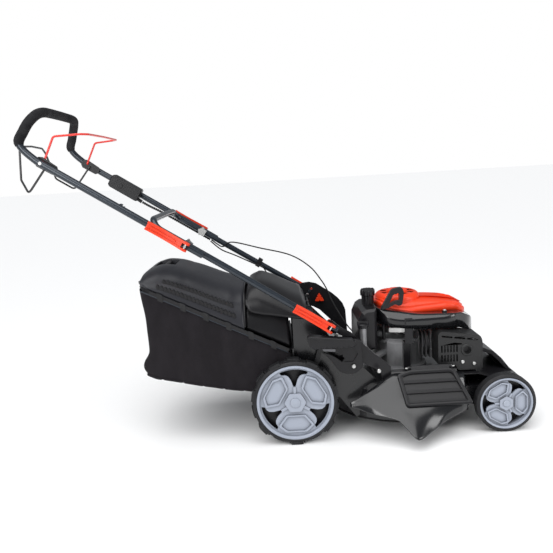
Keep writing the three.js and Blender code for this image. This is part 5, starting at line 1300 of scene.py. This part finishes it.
guard_holes = [circle(20, 48, OUTLET_X, OUTLET_Z)]
for low, high in ((236, 262), (270, 296)):
    for k in range(6):
        x = 516 + k * 10.5
        guard_holes.append(rounded([(x, low), (x + 5, low), (x + 5, high), (x, high)], 2.4, 3))
for x0, x1 in ((518, 556), (562, 600), (606, 644)):
    low, high = guard_fall(x0), guard_fall(x1)
    guard_holes.append(rounded([(x0, low - 12), (x1, high - 12), (x1, high - 6), (x0, low - 6)],
                               2.4, 3))
guard = Shape().prism(guard_outline, guard_holes, side_view(), -180, GUARD_FACE)
wall_rings = [[at(u, y, v) for u, v in guard_outline] for y in (GUARD_FACE, GUARD_BACK)]
wall_rings += [[at(u + (GUARD_X - u) * GUARD_WALL, y, v + (GUARD_Z - v) * GUARD_WALL)
                for u, v in guard_outline] for y in (GUARD_BACK, GUARD_FACE)]
guard.loft([*wall_rings, wall_rings[0]], caps=False)
build("muffler_guard_shell", guard, "heat_paint", "chassis", ["muffler_guard"], bevel=1.2,
      smooth=32)
outlet = Shape().revolve([(14, -172), (14, -183), (19.5, -183), (21.5, -181), (21.5, -177.8),
                          (19.5, -176)], 48, side_view(OUTLET_X, OUTLET_Z), closed=True)
build("exhaust_outlet_ring", outlet, "heat_paint", "chassis", smooth=32)
screws = Shape()
for x, z in ((590, 234), (630, 226)):
    screws.revolve([(4, -178), (6.5, -180.2), (6.5, -182.6), (5, -184.6), (1, -185)], 24,
                   side_view(x, z))
for x, y in COVER_SCREWS:
    screws.revolve([(6, 404), (6, 407), (4.5, 408.4), (1, 408.6)], 24, plan_view(x, y))
build("cover_screws", screws, "bright_steel", "chassis", bevel=0.4)

# ---------------- deflector and side flap
FLAP_ROD_Y, FLAP_ROD_Z = -206, 230
FLAP_SLOPE = radians(58)
FLAP_DOWN = Vector((0, -cos(FLAP_SLOPE), -sin(FLAP_SLOPE)))
FLAP_OUT = Vector((0, -sin(FLAP_SLOPE), cos(FLAP_SLOPE)))
# x, then how far down the slope and how far out of it the top, the bend and the rim lie.
CHUTE_TABLE = [(188, 98, -40, 104, -41, 113, -44), (262, 60, -12, 100, -8, 150, -6),
               (336, 17, 5, 120, 5, 178, 22), (388, 17, 5, 132, 6, 246, 42),
               (452, 17, 5, 132, 5, 212, 10), (502, 17, 5, 132, 4, 182, -12),
               (560, 20, 3, 128, 0, 156, -18), (582, 24, 0, 118, -8, 146, -26)]
FLAP_EDGE = [(352, 22), (398, 9), (536, 9), (552, 20), (592, 128), (588, 134), (378, 134),
             (370, 126)]


def on_slope(x, v, w):
    return at(x, FLAP_ROD_Y, FLAP_ROD_Z) + (FLAP_DOWN * v + FLAP_OUT * w) * MM


def chute_ring(x):
    """From the rod down a flat panel, then curled out to the rim."""
    top_v, top_w, bend_v, bend_w, rim_v, rim_w = [
        straight(pairs(CHUTE_TABLE, k), x) * 0.4 + eased(pairs(CHUTE_TABLE, k), x) * 0.6
        for k in range(1, 7)]
    ring = [on_slope(x, top_v + (bend_v - top_v) * t, top_w + (bend_w - top_w) * t)
            for t in (0, 0.25, 0.5, 0.75, 0.92)]
    curl_v, curl_w = (bend_v + rim_v) / 2 + 6, (bend_w + rim_w) / 2 + 5
    for t in (0.08, 0.25, 0.42, 0.6, 0.78, 0.92, 1.0):
        ring.append(on_slope(
            x, bend_v * (1 - t) ** 2 + curl_v * 2 * t * (1 - t) + rim_v * t * t,
            bend_w * (1 - t) ** 2 + curl_w * 2 * t * (1 - t) + rim_w * t * t))
    return ring


chute = Shape().loft([chute_ring(x) for x in steps(188, 582, 66)], caps=False, closed=False)
deflector = build("side_deflector", chute, "black_plastic", "deflector", ["side_chute"],
                  smooth=42, look="gloss_moulding")
# Any face of the flat panel tells which way the open sheet's normals point.
PANEL_FACE = 200
faces_out = deflector.data.polygons[PANEL_FACE].normal.dot(FLAP_OUT) > 0
shell(deflector, 3).offset = -1 if faces_out else 1


def flap_ring(inset, lift):
    loop = rounded([(u, v, 9) for u, v in inset_loop(FLAP_EDGE, inset)], 9, 5)
    return [on_slope(u, v, lift) for u, v in loop]


flap_rings = [flap_ring(inset, lift) for inset, lift in (
    (0, 8), (0, 13.5), (0.8, 14.8), (2.4, 15.4), (9, 15.4), (11, 14.6), (12.5, 12.6), (12.8, 8))]
side_flap = Shape().loft([*flap_rings, flap_rings[0]], caps=False)
for k in range(3):
    v = 18 + k * 35
    low_x, high_x = 362 + k * 4.5, 545 + k * 12.5
    for start, end, near, far in ((v, v + 27, 5.2 + k * 0.4, 8.0), (v + 25, v + 36, 8.0, 13.2)):
        blade = [(low_x, start), (high_x + (start - v) * 0.34, start),
                 (high_x + (end - v) * 0.34, end), (low_x + 2, end)]
        side_flap.loft([[on_slope(x, down, 3.4) for x, down in blade],
                        [on_slope(x, down, far if down > start + 1 else near)
                         for x, down in blade]])
side_flap.block((402, -4), (532, 15), on_slope, 4, 13)
side_flap.revolve([(3.4, 396.5), (8, 396.5), (8, 540.5), (3.4, 540.5)], 28,
                  lambda u, v, w: at(w, FLAP_ROD_Y + u, FLAP_ROD_Z + v), closed=True)
build("side_flap_louvred", side_flap, "black_plastic", "side_guard", ["side_flap"], bevel=0.6,
      smooth=32)

# ---------------- floor, light and camera
scene = bpy.context.scene


def pale_paint():
    finish = Finish("studio_floor")
    grain = finish.noise(scale=90, detail=3)
    return finish.surface(finish.blend(grain, (0.86, 0.86, 0.86), (0.89, 0.89, 0.89)), 0.9)


floor_shape = Shape().loft([[Vector((x, y, 0)) for x in steps(-40, 40, 16)]
                            for y in steps(60, -6, 22)], caps=False, closed=False)
floor = new_object("studio_floor", floor_shape, pale_paint())

world = bpy.data.worlds.new("studio")
scene.world = world
world.use_nodes = True
nodes, links = world.node_tree.nodes, world.node_tree.links
nodes.clear()
out = nodes.new("ShaderNodeOutputWorld")
path, mix = nodes.new("ShaderNodeLightPath"), nodes.new("ShaderNodeMixShader")
links.new(path.outputs["Is Camera Ray"], mix.inputs["Fac"])
for socket, colour, strength in ((mix.inputs[1], (0.93, 0.96, 1, 1), 0.3),
                                 (mix.inputs[2], (1, 1, 1, 1), 1.0)):
    background = nodes.new("ShaderNodeBackground")
    background.inputs["Color"].default_value = colour
    background.inputs["Strength"].default_value = strength
    links.new(background.outputs[0], socket)
links.new(mix.outputs[0], out.inputs["Surface"])


def soft_light(name, place, aim, size, power):
    data = bpy.data.lights.new(name, "AREA")
    data.shape, data.size, data.size_y, data.energy = "RECTANGLE", size[0], size[1], power
    lamp = bpy.data.objects.new(name, data)
    lamp.location = place
    lamp.rotation_euler = (Vector(aim) - Vector(place)).to_track_quat("-Z", "Y").to_euler()
    scene.collection.objects.link(lamp)


overcast = bpy.data.lights.new("overhead_diffuser", "SUN")
overcast.energy, overcast.angle = 2.9, radians(70)
overhead = bpy.data.objects.new("overhead_diffuser", overcast)
overhead.rotation_euler = (radians(22), radians(-12), 0)
scene.collection.objects.link(overhead)
soft_light("front_softbox", (-1.6, -2.9, 1.5), (0, 0, 0.4), (1.2, 1.6), 34)
soft_light("side_softbox", (2.6, -1.6, 1.3), (0.2, 0, 0.4), (0.9, 1.6), 26)

CAMERA_PLACE = (-0.003314, -2.169961, 0.9234)
YAW, PITCH, ROLL = radians(-0.129), radians(9.795), radians(3.396)
camera_data = bpy.data.cameras.new("camera")
camera_data.sensor_width, camera_data.lens = 36.0, 39.63
camera = bpy.data.objects.new("camera", camera_data)
scene.collection.objects.link(camera)
ahead = Vector((sin(YAW) * cos(PITCH), cos(YAW) * cos(PITCH), -sin(PITCH)))
right = Vector((cos(YAW), -sin(YAW), 0))
below = ahead.cross(right)
rolled_right = right * cos(ROLL) + below * sin(ROLL)
rolled_below = below * cos(ROLL) - right * sin(ROLL)
camera.matrix_world = Matrix.Translation(CAMERA_PLACE) @ Matrix(
    (rolled_right, -rolled_below, -ahead)).transposed().to_4x4()
scene.camera = camera
scene.view_settings.view_transform = "Standard"
